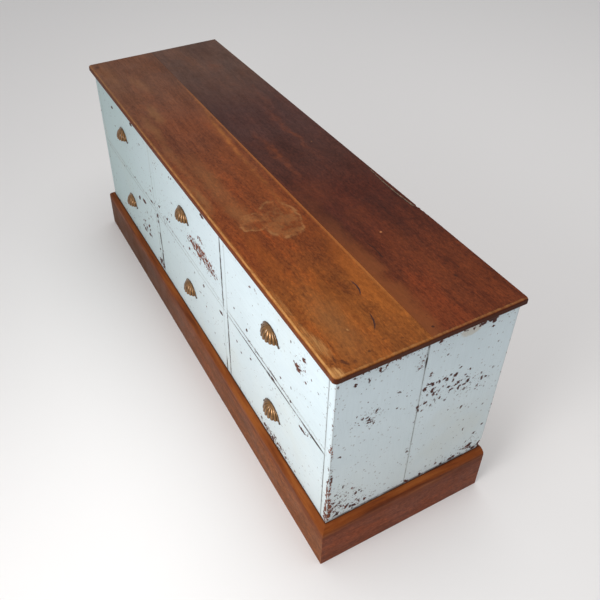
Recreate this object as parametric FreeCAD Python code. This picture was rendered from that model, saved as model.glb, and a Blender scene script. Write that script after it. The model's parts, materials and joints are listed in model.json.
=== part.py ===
import FreeCAD, Part
import math
import os

# Shop chest of drawers
# Two rows of three flush drawers in a painted carcass, under a hardwood top, on a mitred plinth.
# Millimetres. X runs along the chest, the drawers open towards -Y, and Z is up from the floor.
# The origin is on the floor, in the middle of the whole chest's box.

# Driving sizes
carcass_width = 1500.0
carcass_depth = 440.0
overall_height = 635.0
column_names = ["left", "middle", "right"]
row_names = ["lower", "upper"]

# Clearances
overrun = 5.0              # how far every cutting tool runs past what it cuts
joint_play = 0.1           # round what is housed or grooved and glued
sliding_gap = 0.3          # under a drawer side, and between a stop and the drawer front
front_gap = 1.0            # round a drawer front, and beside a drawer
kicker_gap = 3.0           # over a drawer side, so that a drawer never binds
screw_play = 0.05          # round a screw or a nail in its own hole
same_place = 1e-6          # two points closer than this are one

# Top, of two boards glued edge to edge
top_thickness = 18.0
top_front_board_width = 218.0
top_joint_arris = 0.5      # the small bevels that draw the line between the boards
top_overhang = 14.0        # past the front and both ends; the back is flush
top_corner_radius = 10.0
top_upper_round = 6.0
top_lower_round = 4.0

# End panels, each of two upright planks
end_thickness = 22.0
end_front_plank_width = 211.0
plank_arris = 0.8          # the small bevels that draw the line between the planks

# Dividers, rails and the bottom board
divider_thickness = 22.0
rail_thickness = 15.0
rail_depth = 60.0
housing_depth = 6.0
bottom_reveal = 1.0        # how far the bottom board's top stands over the plinth's

# Back of upright boards in a rebate
back_board_count = 8
back_board_thickness = 12.0
back_rebate_width = 11.0
back_tongue_thickness = 4.0
back_tongue_length = 6.0
back_arris = 1.0

# Plinth, planted on the carcass and mitred at the front corners
plinth_height = 136.0
plinth_projection = 18.0
plinth_round = 16.0

# Runners, kickers and stops
runner_width = 40.0
stop_height = 6.0
stop_depth = 12.0
stop_width = 40.0
stop_place_share = 0.3     # of the opening's width, each side of its middle

# Drawers
drawer_front_thickness = 20.0
drawer_side_thickness = 11.0
drawer_back_thickness = 11.0
drawer_bottom_thickness = 7.0
drawer_bottom_lift = 12.0  # from the foot of a side to the underside of the bottom
drawer_groove_depth = 5.0
drawer_back_drop = 10.0    # how much lower than the sides the back is
drawer_rear_space = 15.0   # left free behind a closed drawer
tail_count = 4
front_lap = 6.0            # the wood left in front of the tails in a drawer front
tail_slope_share = 1.0 / 6.0
tail_root_share = 0.5      # of the tails' spacing, at the narrow root

# Cup pulls of fluted cast brass
pull_cup_width = 70.0
pull_cup_height = 30.0
pull_projection = 20.0
pull_wall = 1.8
pull_plate_thickness = 1.8
pull_plate_border = 3.0
pull_lug_width = 12.0
pull_screw_spacing = 78.0
pull_lug_tip_radius = 3.5
pull_lug_degrees = 70.0     # from the lug's line to where its round tip begins
pull_flute_count = 9
pull_flute_height = 1.5
pull_mouth_rise = 2.0      # from the screws' line up to the cup's mouth
pull_end_fullness = 1.35   # 1 makes the mouth half an ellipse, more makes its ends leaner
pull_section_degrees = [0.0, 10.0, 25.0, 42.0, 58.0, 72.0, 82.0]
pull_line_heights = {"lower": 106.0, "upper": 114.0}   # screws' line over the opening's foot
# The pulls were set by eye: how far each sits to the right of its drawer's middle, and over that line
pull_rights = {"lower_left": -8.5, "lower_middle": 0.0, "lower_right": 3.5,
               "upper_left": -9.0, "upper_middle": -9.5, "upper_right": -1.0}
pull_lifts = {"lower_left": 1.0, "lower_middle": 0.0, "lower_right": 0.0,
              "upper_left": 1.0, "upper_middle": 2.5, "upper_right": 4.0}

# Pull screws and back nails
screw_radius = 1.3
screw_length = 13.0
screw_head_radius = 2.8
screw_head_height = 1.6
screw_slot_width = 0.8
screw_slot_depth = 0.8
nail_radius = 1.1
nail_length = 26.0
nail_head_radius = 2.4
nail_head_height = 0.8
nail_place_share = 0.25    # of a board's width, in from each edge

# Levels and planes worked out from the sizes above
front_reach = max(pull_projection, plinth_projection, top_overhang)
front_y = -(carcass_depth - front_reach) / 2
back_y = front_y + carcass_depth
back_inner_y = back_y - back_board_thickness
half_width = carcass_width / 2
inner_half_width = half_width - end_thickness
top_underside = overall_height - top_thickness
opening_foot = plinth_height + bottom_reveal
bottom_underside = opening_foot - rail_thickness
column_count = len(column_names)
divider_count = column_count - 1
opening_width = (2 * inner_half_width - divider_count * divider_thickness) / column_count
row_count = len(row_names)
opening_height = (top_underside - opening_foot - row_count * rail_thickness) / row_count
row_pitch = opening_height + rail_thickness


def column_left(column):
    return -inner_half_width + column * (opening_width + divider_thickness)


def row_foot(row):
    return opening_foot + row * row_pitch


def block(x0, x1, y0, y1, z0, z1):
    """A board or block between two opposite corners."""
    corner = FreeCAD.Vector(x0, y0, z0)
    return Part.makeBox(x1 - x0, y1 - y0, z1 - z0, corner)


def prism(points, along):
    """A flat outline swept along a vector."""
    outline = [FreeCAD.Vector(*point) for point in points]
    face = Part.Face(Part.makePolygon(outline + outline[:1]))
    return face.extrude(FreeCAD.Vector(*along))


def cut_all(shape, tools):
    return shape.cut(Part.makeCompound(tools)) if tools else shape


def group(solids):
    return Part.makeCompound(solids)


def near(a, b):
    return abs(a - b) < same_place


def is_upright(edge):
    start, end = [vertex.Point for vertex in edge.Vertexes]
    return near(start.x, end.x) and near(start.y, end.y)


# Top boards

def make_top():
    """The whole top in one: rounded front corners, and rounded edges at the front and both ends."""
    x = half_width + top_overhang
    y = front_y - top_overhang
    board = block(-x, x, y, back_y, top_underside, overall_height)
    corners = [edge for edge in board.Edges if is_upright(edge) and near(edge.Vertexes[0].Y, y)]
    board = board.makeFillet(top_corner_radius, corners)

    def rim(level):
        """The front and end edges at one level, but not the back edge."""
        return [edge for edge in board.Edges
                if all(near(vertex.Z, level) for vertex in edge.Vertexes)
                and not all(near(vertex.Y, back_y) for vertex in edge.Vertexes)]

    board = board.makeFillet(top_upper_round, rim(overall_height))
    return board.makeFillet(top_lower_round, rim(top_underside))


def make_top_boards():
    """The top parted at its glued joint, with the front board first."""
    top = make_top()
    x = half_width + top_overhang + overrun
    seam = front_y - top_overhang + top_front_board_width
    depth = top_joint_arris
    line = [(-x, seam - depth, overall_height), (-x, seam + depth, overall_height),
            (-x, seam, overall_height - depth)]
    top = top.cut(prism(line, (2 * x, 0, 0)))
    front = block(-x, x, front_y - top_overhang - overrun, seam, 0, overall_height + overrun)
    return [top.common(front), top.cut(front)]


# Rails, runners and the bottom board: each is made here and housed in what carries it

def make_carcass_bottom():
    x = inner_half_width + housing_depth - joint_play
    return block(-x, x, front_y, back_inner_y, bottom_underside, opening_foot)


def rail_span(column):
    left = column_left(column) - housing_depth + joint_play
    right = column_left(column) + opening_width + housing_depth - joint_play
    return left, right


def make_middle_rails():
    rails = []
    for row in range(1, row_count):
        level = row_foot(row)
        for column in range(column_count):
            left, right = rail_span(column)
            rails.append(block(left, right, front_y, front_y + rail_depth,
                               level - rail_thickness, level))
    return rails


def make_top_rails():
    """The front and back rails under the top, each in one length over the dividers."""
    x = inner_half_width + housing_depth - joint_play
    foot = top_underside - rail_thickness
    front = block(-x, x, front_y, front_y + rail_depth, foot, top_underside)
    back = block(-x, x, back_inner_y - rail_depth, back_inner_y, foot, top_underside)
    return [front, back]


def make_runners(level, y_end):
    """Strips beside every opening, from the rail back to y_end, with their tops at one level."""
    strips = []
    for column in range(column_count):
        left = column_left(column)
        right = left + opening_width
        for x in (left, right - runner_width):
            strips.append(block(x, x + runner_width, front_y + rail_depth, y_end,
                                level - rail_thickness, level))
    return strips


def housing(rail):
    """The housing for a rail: the rail's own block, with play over, under and behind it."""
    box = rail.BoundBox
    return block(box.XMin - joint_play, box.XMax + joint_play,
                 box.YMin - overrun, box.YMax + joint_play,
                 box.ZMin - joint_play, box.ZMax + joint_play)


# Back boards and their nails

def back_board_span(index):
    width = 2 * (inner_half_width + back_rebate_width - joint_play) / back_board_count
    left = -inner_half_width - back_rebate_width + joint_play + index * width
    return left, left + width


def make_back_boards():
    boards = []
    foot = bottom_underside
    arris_y = back_y - back_arris
    tongue_y = back_inner_y + (back_board_thickness - back_tongue_thickness) / 2
    for index in range(back_board_count):
        left, right = back_board_span(index)
        outline = [(left, back_inner_y, foot), (right, back_inner_y, foot),
                   (right, arris_y, foot), (right - back_arris, back_y, foot),
                   (left + back_arris, back_y, foot), (left, arris_y, foot)]
        board = prism(outline, (0, 0, top_underside - foot))
        if index < back_board_count - 1:
            tongue = block(right, right + back_tongue_length,
                           tongue_y, tongue_y + back_tongue_thickness, foot, top_underside)
            board = board.fuse(tongue).removeSplitter()
        if index > 0:
            groove = block(left - overrun, left + back_tongue_length + joint_play,
                           tongue_y - joint_play, tongue_y + back_tongue_thickness + joint_play,
                           foot - overrun, top_underside + overrun)
            board = board.cut(groove)
        boards.append(board)
    return boards


def nail_places():
    places = []
    levels = [bottom_underside + rail_thickness / 2, top_underside - rail_thickness / 2]
    for index in range(back_board_count):
        left, right = back_board_span(index)
        inset = (right - left) * nail_place_share
        for x in (left + inset, right - inset):
            places += [(x, level) for level in levels]
    return places


def make_nail(x, z):
    tip = FreeCAD.Vector(x, back_y - nail_length, z)
    outward = FreeCAD.Vector(0, 1, 0)
    seat = FreeCAD.Vector(x, back_y - nail_head_height, z)
    shank = Part.makeCylinder(nail_radius, nail_length, tip, outward)
    head = Part.makeCylinder(nail_head_radius, nail_head_height, seat, outward)
    return shank.fuse(head).removeSplitter()


def make_nail_hole(x, z):
    outward = FreeCAD.Vector(0, 1, 0)
    tip = FreeCAD.Vector(x, back_y - nail_length - screw_play, z)
    shank = Part.makeCylinder(nail_radius + screw_play, nail_length + overrun, tip, outward)
    seat = FreeCAD.Vector(x, back_y - nail_head_height, z)
    return shank.fuse(Part.makeCylinder(nail_head_radius + screw_play, overrun, seat, outward))


# End planks and dividers

def make_end_planks(side):
    """The front and back planks of one end; side is -1 on the left and +1 on the right."""
    inner = side * inner_half_width
    outer = side * half_width
    seam = front_y + end_front_plank_width
    bevel = outer - side * plank_arris
    front = [(inner, front_y, 0), (outer, front_y, 0), (outer, seam - plank_arris, 0),
             (bevel, seam, 0), (inner, seam, 0)]
    rebate = inner + side * back_rebate_width
    back = [(inner, seam, 0), (bevel, seam, 0), (outer, seam + plank_arris, 0), (outer, back_y, 0),
            (rebate, back_y, 0), (rebate, back_inner_y, 0), (inner, back_inner_y, 0)]
    return [prism(outline, (0, 0, top_underside)) for outline in (front, back)]


def make_divider(index):
    left = column_left(index) + opening_width
    foot = opening_foot - housing_depth + joint_play
    return block(left, left + divider_thickness, front_y, back_inner_y, foot, top_underside)


# Plinth

def plinth_profile(outward):
    """The plinth's section from the carcass face outwards, with its worn quarter-round top edge."""
    round_foot = plinth_height - plinth_round
    ledge = plinth_projection - plinth_round
    bulge = plinth_round * math.sqrt(0.5)
    corners = [outward(0, 0), outward(plinth_projection, 0), outward(plinth_projection, round_foot),
               outward(ledge, plinth_height), outward(0, plinth_height)]
    middle = outward(ledge + bulge, round_foot + bulge)
    edges = [Part.makeLine(corners[0], corners[1]), Part.makeLine(corners[1], corners[2]),
             Part.Arc(corners[2], middle, corners[3]).toShape(),
             Part.makeLine(corners[3], corners[4]), Part.makeLine(corners[4], corners[0])]
    return Part.Face(Part.Wire(edges))


def mitre_wedge(side, keep_front):
    """The half of the corner, cut at 45 degrees, that the other plinth board fills."""
    corner_x = side * half_width
    reach = plinth_projection + overrun
    tip_x = corner_x + side * reach
    tip_y = front_y - reach
    third = (tip_x, front_y, -overrun) if keep_front else (corner_x, tip_y, -overrun)
    outline = [(corner_x, front_y, -overrun), (tip_x, tip_y, -overrun), third]
    return prism(outline, (0, 0, plinth_height + 2 * overrun))


def make_plinth_front():
    start = -half_width - plinth_projection

    def outward(distance, height):
        return FreeCAD.Vector(start, front_y - distance, height)

    board = plinth_profile(outward).extrude(FreeCAD.Vector(carcass_width + 2 * plinth_projection, 0, 0))
    return cut_all(board, [mitre_wedge(side, True) for side in (-1, 1)])


def make_plinth_return(side):
    start = front_y - plinth_projection

    def outward(distance, height):
        return FreeCAD.Vector(side * (half_width + distance), start, height)

    board = plinth_profile(outward).extrude(FreeCAD.Vector(0, back_y - start, 0))
    return cut_all(board, [mitre_wedge(side, False)])


# Drawer stops

def make_stops():
    stops = []
    front = front_y + drawer_front_thickness + sliding_gap
    for row in range(row_count):
        for column in range(column_count):
            middle = column_left(column) + opening_width / 2
            for way in (-1, 1):
                x = middle + way * opening_width * stop_place_share - stop_width / 2
                stops.append(block(x, x + stop_width, front, front + stop_depth,
                                   row_foot(row), row_foot(row) + stop_height))
    return stops


# Drawers
# Each piece is made for one opening, given by its left edge and its foot.

side_height = opening_height - sliding_gap - kicker_gap
drawer_back_outer_y = back_inner_y - drawer_rear_space
tail_length = drawer_front_thickness - front_lap


def tail_outlines(foot, height, root_y, tip_y):
    """Dovetails in the side's plane: narrow at the root, wide at the tip, evenly spaced."""
    spacing = height / tail_count
    root_half = spacing * tail_root_share / 2
    tip_half = root_half + abs(tip_y - root_y) * tail_slope_share
    outlines = []
    for index in range(tail_count):
        middle = foot + (index + 0.5) * spacing
        outlines.append([(root_y, middle - root_half), (tip_y, middle - tip_half),
                         (tip_y, middle + tip_half), (root_y, middle + root_half)])
    return outlines


def make_tails(x0, x1, foot, height, root_y, tip_y):
    tails = []
    for outline in tail_outlines(foot, height, root_y, tip_y):
        points = [(x0, y, z) for y, z in outline]
        tails.append(prism(points, (x1 - x0, 0, 0)))
    return tails


def bottom_groove(foot, x0, x1, y0, y1):
    """The groove that holds a drawer's bottom, at the height every piece shares."""
    level = foot + sliding_gap + drawer_bottom_lift
    return block(x0, x1, y0, y1, level, level + drawer_bottom_thickness + joint_play)


def side_faces(left):
    """The outer and inner X of a drawer's left and right sides."""
    outer_left = left + front_gap
    outer_right = left + opening_width - front_gap
    return [(outer_left, outer_left + drawer_side_thickness),
            (outer_right - drawer_side_thickness, outer_right)]


def make_drawer_side(left, foot, hand):
    x0, x1 = side_faces(left)[hand]
    z = foot + sliding_gap
    root_front = front_y + drawer_front_thickness
    root_back = drawer_back_outer_y - drawer_back_thickness
    side = block(x0, x1, root_front, root_back, z, z + side_height)
    back_height = side_height - drawer_back_drop
    tails = make_tails(x0, x1, z, side_height, root_front, root_front - tail_length)
    pins_foot = z + drawer_bottom_lift + drawer_bottom_thickness + joint_play
    tails += make_tails(x0, x1, pins_foot, z + back_height - pins_foot, root_back, drawer_back_outer_y)
    side = side.multiFuse(tails).removeSplitter()
    groove_x0 = x1 - drawer_groove_depth if hand == 0 else x0 - overrun
    groove_x1 = x1 + overrun if hand == 0 else x0 + drawer_groove_depth
    groove = bottom_groove(foot, groove_x0, groove_x1, front_y, drawer_back_outer_y + overrun)
    return side.cut(groove)


def make_drawer_front(left, foot, pull_middle, pull_line):
    x0 = left + front_gap
    x1 = left + opening_width - front_gap
    z0 = foot + front_gap
    z1 = foot + opening_height - front_gap
    inner_y = front_y + drawer_front_thickness
    front = block(x0, x1, front_y, inner_y, z0, z1)
    faces = side_faces(left)
    sockets = []
    for side_x0, side_x1 in faces:
        sockets += make_tails(side_x0, side_x1, foot + sliding_gap, side_height,
                              inner_y, inner_y - tail_length)
    groove_x0 = faces[0][1] - drawer_groove_depth
    groove_x1 = faces[1][0] + drawer_groove_depth
    groove = bottom_groove(foot, groove_x0, groove_x1, inner_y - drawer_groove_depth, inner_y + overrun)
    holes = [make_screw_hole(x, pull_line) for x in screw_places(pull_middle)]
    return cut_all(front, sockets + [groove] + holes)


def make_drawer_back(left, foot):
    faces = side_faces(left)
    z = foot + sliding_gap
    pins_foot = z + drawer_bottom_lift + drawer_bottom_thickness + joint_play
    head = z + side_height - drawer_back_drop
    inner_y = drawer_back_outer_y - drawer_back_thickness
    back = block(faces[0][0], faces[1][1], inner_y, drawer_back_outer_y, pins_foot, head)
    sockets = []
    for side_x0, side_x1 in faces:
        sockets += make_tails(side_x0, side_x1, pins_foot, head - pins_foot,
                              inner_y, drawer_back_outer_y)
    return cut_all(back, sockets)


def make_drawer_bottom(left, foot):
    faces = side_faces(left)
    reach = drawer_groove_depth - joint_play
    level = foot + sliding_gap + drawer_bottom_lift
    return block(faces[0][1] - reach, faces[1][0] + reach,
                 front_y + drawer_front_thickness - reach, drawer_back_outer_y,
                 level, level + drawer_bottom_thickness)


# Cup pulls and their screws

def screw_places(pull_middle):
    return [pull_middle - pull_screw_spacing / 2, pull_middle + pull_screw_spacing / 2]


def make_screw_hole(x, z):
    inward = FreeCAD.Vector(0, 1, 0)
    start = FreeCAD.Vector(x, front_y - overrun, z)
    depth = screw_length - pull_plate_thickness + screw_play
    return Part.makeCylinder(screw_radius + screw_play, overrun + depth, start, inward)


def make_pull_screws():
    """Two slotted round-head screws, drawn about the pull's middle on the drawer's face."""
    inward = FreeCAD.Vector(0, 1, 0)
    seat = -pull_plate_thickness
    ball = (screw_head_radius ** 2 + screw_head_height ** 2) / (2 * screw_head_height)
    screws = []
    for way in (-1, 1):
        x = way * pull_screw_spacing / 2
        shank = Part.makeCylinder(screw_radius, screw_length, FreeCAD.Vector(x, seat, 0), inward)
        dome = Part.makeSphere(ball, FreeCAD.Vector(x, seat + ball - screw_head_height, 0))
        head = dome.common(block(x - ball, x + ball, seat - 2 * ball, seat, -ball, ball))
        crown = seat - screw_head_height
        slot = block(x - ball, x + ball, crown - overrun, crown + screw_slot_depth,
                     -screw_slot_width / 2, screw_slot_width / 2)
        screws.append(head.cut(slot).fuse(shank).removeSplitter())
    return screws


def lean(angle):
    """How far out the cup stands at an angle round it, as a share of its reach."""
    return max(math.sin(angle), 0.0) ** pull_end_fullness


def cup_section(half_x, reach, level, flute):
    """One level cut through the cup: fluted lobes round the front, and straight lines behind."""
    valleys = []
    crests = []
    for index in range(pull_flute_count + 1):
        angle = math.pi * index / pull_flute_count
        valleys.append(FreeCAD.Vector(half_x * math.cos(angle), -reach * lean(angle), level))
    for index in range(pull_flute_count):
        angle = math.pi * (index + 0.5) / pull_flute_count
        crests.append(FreeCAD.Vector((half_x + flute) * math.cos(angle),
                                     -(reach + flute) * lean(angle), level))
    edges = [Part.Arc(valleys[i], crests[i], valleys[i + 1]).toShape() for i in range(pull_flute_count)]
    corners = [valleys[-1], FreeCAD.Vector(-half_x, overrun, level),
               FreeCAD.Vector(half_x, overrun, level), valleys[0]]
    edges += [Part.makeLine(corners[i], corners[i + 1]) for i in range(len(corners) - 1)]
    return Part.Wire(edges)


def make_cup_body(half_x, reach, height):
    """A quarter dome whose flutes run from the mouth up to the crest. It runs on behind the face."""
    sections = []
    for degrees in pull_section_degrees:
        angle = math.radians(degrees)
        share = math.cos(angle)
        level = pull_mouth_rise + height * math.sin(angle)
        sections.append(cup_section(half_x * share, reach * share, level, pull_flute_height * share))
    return Part.makeLoft(sections, True, False)


def make_pull_plate():
    """The flat rim on the drawer's face, with a screw lug at each end."""
    rim = Part.Ellipse(FreeCAD.Vector(0, 0, 0), pull_cup_width / 2 + pull_plate_border,
                       pull_cup_height + pull_plate_border)
    top = Part.Face(Part.Wire(rim.toShape())).extrude(FreeCAD.Vector(0, 0, pull_plate_thickness))
    half = pull_cup_width / 2 + pull_plate_border
    top = top.common(block(-half, half, 0, half, -overrun, overrun))
    plates = [top]
    turn = math.radians(pull_lug_degrees)
    rise = pull_lug_tip_radius * math.sin(turn)
    for way in (-1, 1):
        centre = way * pull_screw_spacing / 2
        root = way * pull_cup_width / 2
        shoulder = centre + way * pull_lug_tip_radius * math.cos(turn)
        tip = FreeCAD.Vector(centre + way * pull_lug_tip_radius, 0, 0)
        high = FreeCAD.Vector(root, pull_lug_width / 2, 0)
        low = FreeCAD.Vector(root - 2 * way * pull_plate_border, -rise, 0)
        over = FreeCAD.Vector(shoulder, rise, 0)
        under = FreeCAD.Vector(shoulder, -rise, 0)
        edges = [Part.makeLine(high, over), Part.Arc(over, tip, under).toShape(),
                 Part.makeLine(under, low), Part.makeLine(low, high)]
        plates.append(Part.Face(Part.Wire(edges)).extrude(FreeCAD.Vector(0, 0, pull_plate_thickness)))
    plate = plates[0].multiFuse(plates[1:]).removeSplitter()
    plate.rotate(FreeCAD.Vector(0, 0, 0), FreeCAD.Vector(1, 0, 0), 90)
    return plate


def make_cup_pull():
    """The whole pull, drawn about its middle on the drawer's face, with the screws' line at 0."""
    half_x = pull_cup_width / 2 - pull_flute_height
    reach = pull_projection - pull_flute_height
    height = pull_cup_height - pull_mouth_rise
    outer = make_cup_body(half_x, reach, height)
    behind = block(-pull_cup_width, pull_cup_width, 0, 2 * overrun, 0, 2 * pull_cup_height)
    inner_x = half_x - pull_wall
    inner_reach = reach - pull_wall
    inner = make_cup_body(inner_x, inner_reach, height - pull_wall)
    mouth = Part.Face(cup_section(inner_x, inner_reach, pull_mouth_rise, pull_flute_height))
    mouth = mouth.extrude(FreeCAD.Vector(0, 0, -pull_lug_width))
    inward = FreeCAD.Vector(0, 1, 0)
    depth = pull_plate_thickness + 2 * overrun
    holes = []
    for way in (-1, 1):
        start = FreeCAD.Vector(way * pull_screw_spacing / 2, -pull_plate_thickness - overrun, 0)
        holes.append(Part.makeCylinder(screw_radius + joint_play, depth, start, inward))
    pull = outer.cut(behind).fuse(make_pull_plate()).removeSplitter()
    return pull.cut(inner).cut(mouth).cut(group(holes))


# Put the chest together

def moved(shape, x, y, z):
    copy = shape.copy()
    copy.translate(FreeCAD.Vector(x, y, z))
    return copy


def build_carcass():
    bottom = make_carcass_bottom()
    middle_rails = make_middle_rails()
    top_rails = make_top_rails()
    runners = []
    for row in range(1, row_count):
        runners += make_runners(row_foot(row), back_inner_y)
    kickers = make_runners(top_underside, back_inner_y - rail_depth)
    housings = [housing(rail) for rail in [bottom] + middle_rails + top_rails]
    dividers = [make_divider(index) for index in range(divider_count)]
    nail_holes = [make_nail_hole(x, z) for x, z in nail_places()]
    trenches = []
    for divider in dividers:
        box = divider.BoundBox
        trenches.append(block(box.XMin - joint_play, box.XMax + joint_play, box.YMin - overrun, back_y,
                              box.ZMin - joint_play, box.ZMax))
    top_front, top_back = make_top_boards()
    nodes = {"top_front_board": top_front, "top_back_board": top_back}
    for name, side in (("left", -1), ("right", 1)):
        front_plank, back_plank = make_end_planks(side)
        nodes[name + "_end_front_plank"] = cut_all(front_plank, housings)
        nodes[name + "_end_back_plank"] = cut_all(back_plank, housings)
    nodes["dividers"] = group([cut_all(divider, housings[1:]) for divider in dividers])
    nodes["carcass_bottom"] = cut_all(bottom, trenches + nail_holes)
    nodes["middle_rails"] = group(middle_rails)
    nodes["top_rails"] = group([cut_all(rail, nail_holes) for rail in top_rails])
    nodes["drawer_runners"] = group(runners)
    nodes["drawer_kickers"] = group(kickers)
    nodes["drawer_stops"] = group(make_stops())
    nodes["back_boards"] = group([cut_all(board, nail_holes) for board in make_back_boards()])
    nodes["back_nails"] = group([make_nail(x, z) for x, z in nail_places()])
    nodes["plinth_front"] = make_plinth_front()
    nodes["plinth_left_return"] = make_plinth_return(-1)
    nodes["plinth_right_return"] = make_plinth_return(1)
    return nodes


def build_drawers():
    nodes = {}
    pull = make_cup_pull()
    screws = group(make_pull_screws())
    for row, row_name in enumerate(row_names):
        for column, column_name in enumerate(column_names):
            name = row_name + "_" + column_name
            left = column_left(column)
            foot = row_foot(row)
            pull_line = foot + pull_line_heights[row_name] + pull_lifts[name]
            pull_middle = left + opening_width / 2 + pull_rights[name]
            nodes[name + "_drawer_front"] = make_drawer_front(left, foot, pull_middle, pull_line)
            nodes[name + "_drawer_left_side"] = make_drawer_side(left, foot, 0)
            nodes[name + "_drawer_right_side"] = make_drawer_side(left, foot, 1)
            nodes[name + "_drawer_back"] = make_drawer_back(left, foot)
            nodes[name + "_drawer_bottom"] = make_drawer_bottom(left, foot)
            nodes[name + "_cup_pull"] = moved(pull, pull_middle, front_y, pull_line)
            nodes[name + "_pull_screws"] = moved(screws, pull_middle, front_y, pull_line)
    return nodes


def main():
    os.makedirs("parts", exist_ok=True)
    nodes = build_carcass()
    nodes.update(build_drawers())
    for name, shape in nodes.items():
        solids = shape.Solids
        sound = all(solid.isValid() and solid.isClosed() and solid.Volume > 0 for solid in solids)
        shape.exportStep("parts/" + name + ".step")
        print(name, "solids", len(solids), "sound", sound, "volume", round(shape.Volume))
    print(len(nodes), "nodes; opening", round(opening_width, 2), "by", round(opening_height, 2))


main()
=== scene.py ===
# %% [markdown]
# # A shop's chest of drawers
# The chest is a long, low painted carcass with six drawers, brass cup pulls, a hardwood top of two boards and
# a mitred hardwood plinth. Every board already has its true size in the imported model, so this lesson adds
# what a restorer would see: finish, grain, wear and damage. Lengths are in metres, except where a comment
# says mm.

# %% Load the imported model
import bpy
import bmesh
import json
import math
import random
from mathutils import Euler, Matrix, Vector

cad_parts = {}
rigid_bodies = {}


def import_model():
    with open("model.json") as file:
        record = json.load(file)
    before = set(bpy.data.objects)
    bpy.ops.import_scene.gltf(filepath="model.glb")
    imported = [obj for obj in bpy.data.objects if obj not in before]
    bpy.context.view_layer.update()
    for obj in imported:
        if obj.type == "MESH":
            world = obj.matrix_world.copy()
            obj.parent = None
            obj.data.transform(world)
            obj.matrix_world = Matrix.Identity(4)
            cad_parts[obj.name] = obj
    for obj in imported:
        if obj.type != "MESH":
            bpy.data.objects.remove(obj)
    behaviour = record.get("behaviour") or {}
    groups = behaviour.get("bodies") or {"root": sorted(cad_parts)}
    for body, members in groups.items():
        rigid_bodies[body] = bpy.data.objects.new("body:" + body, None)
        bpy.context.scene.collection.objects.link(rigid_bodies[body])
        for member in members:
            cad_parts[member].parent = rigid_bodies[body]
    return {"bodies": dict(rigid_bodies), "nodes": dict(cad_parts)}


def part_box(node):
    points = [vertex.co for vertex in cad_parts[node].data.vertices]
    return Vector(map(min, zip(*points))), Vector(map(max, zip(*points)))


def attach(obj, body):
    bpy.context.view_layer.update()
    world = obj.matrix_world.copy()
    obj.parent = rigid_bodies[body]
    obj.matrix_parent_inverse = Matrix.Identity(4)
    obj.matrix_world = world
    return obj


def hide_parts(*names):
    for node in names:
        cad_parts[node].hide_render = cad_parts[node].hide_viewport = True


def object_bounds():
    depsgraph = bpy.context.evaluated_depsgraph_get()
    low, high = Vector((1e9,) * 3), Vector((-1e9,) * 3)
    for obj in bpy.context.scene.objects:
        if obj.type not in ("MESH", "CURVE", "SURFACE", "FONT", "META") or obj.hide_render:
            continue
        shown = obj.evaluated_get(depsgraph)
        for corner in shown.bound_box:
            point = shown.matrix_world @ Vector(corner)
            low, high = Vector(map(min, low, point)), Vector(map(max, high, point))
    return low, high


for leftover in list(bpy.data.objects):
    bpy.data.objects.remove(leftover)
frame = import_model()
cad_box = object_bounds()
nodes = frame["nodes"]
print("The model has", len(nodes), "pieces on", len(frame["bodies"]), "bodies, and its box is", cad_box)

# %% [markdown]
# ## Measures of the chest
# A finish is placed by the faces that it lies on, so the few planes that matter are read from the pieces
# themselves: the painted front, the painted ends, the top's surface and the plinth's rounded shoulder.

# %% Read the main planes
top_low, top_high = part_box("top_front_board")
end_low, end_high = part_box("right_end_front_plank")
front_y, end_x = end_low.y, end_high.x
top_z, joint_y = top_high.z, top_high.y
plinth_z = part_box("plinth_front")[1].z
print("front plane y", round(front_y, 4), "end plane x", round(end_x, 4), "top z", round(top_z, 4))

# %% [markdown]
# ## The camera
# The photograph was taken from above the near right corner with a normal lens. The camera was solved from the
# chest's own straight edges, so its place, turn and lens are simply written down here.


# %% Place the camera
def put_in_scene(name, data):
    thing = bpy.data.objects.new(name, data)
    bpy.context.scene.collection.objects.link(thing)
    return thing


camera = put_in_scene("camera", bpy.data.cameras.new("camera"))
camera.location = (1.44452, -0.70244, 1.58623)
camera.rotation_euler = Euler([math.radians(angle) for angle in (51.263, 0.7276, 62.5718)], "XYZ")
camera.data.sensor_width = 36.0
camera.data.lens = 42.082
camera.data.shift_x = 0.05858
camera.data.shift_y = -0.07849
camera.data.clip_end = 100.0
bpy.context.scene.camera = camera
bpy.context.scene.view_settings.view_transform = "Standard"
print("camera at", [round(v, 3) for v in camera.location], "with a lens of", camera.data.lens, "mm")

# %% [markdown]
# ## Values on a sheet of nodes
# A material is a sheet of nodes, and every finish below is arithmetic on what these nodes put out. Written
# out node by node that is hard to read. So a Value stands for what a node puts out, and a sum or product of
# values adds the node that works it out.


# %% Values
class Value:
    """What a node puts out: its first output, or the one that is named in brackets."""

    def __init__(self, node, key=0):
        self.node, self.key = node, key

    def __getitem__(self, key):
        return Value(self.node, key)

    @property
    def socket(self):
        return self.node.outputs[self.key]

    __add__ = lambda self, other: maths("ADD", self, other)
    __radd__ = lambda self, other: maths("ADD", other, self)
    __sub__ = lambda self, other: maths("SUBTRACT", self, other)
    __rsub__ = lambda self, other: maths("SUBTRACT", other, self)
    __mul__ = lambda self, other: maths("MULTIPLY", self, other)
    __truediv__ = lambda self, other: maths("DIVIDE", self, other)
    __rtruediv__ = lambda self, other: maths("DIVIDE", other, self)
    __abs__ = lambda self: maths("ABSOLUTE", self)


def feed(socket, value):
    """Gives a socket a plain value, or links what another node puts out."""
    if isinstance(value, Value):
        socket.id_data.links.new(value.socket, socket)
    else:
        socket.default_value = value


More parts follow.
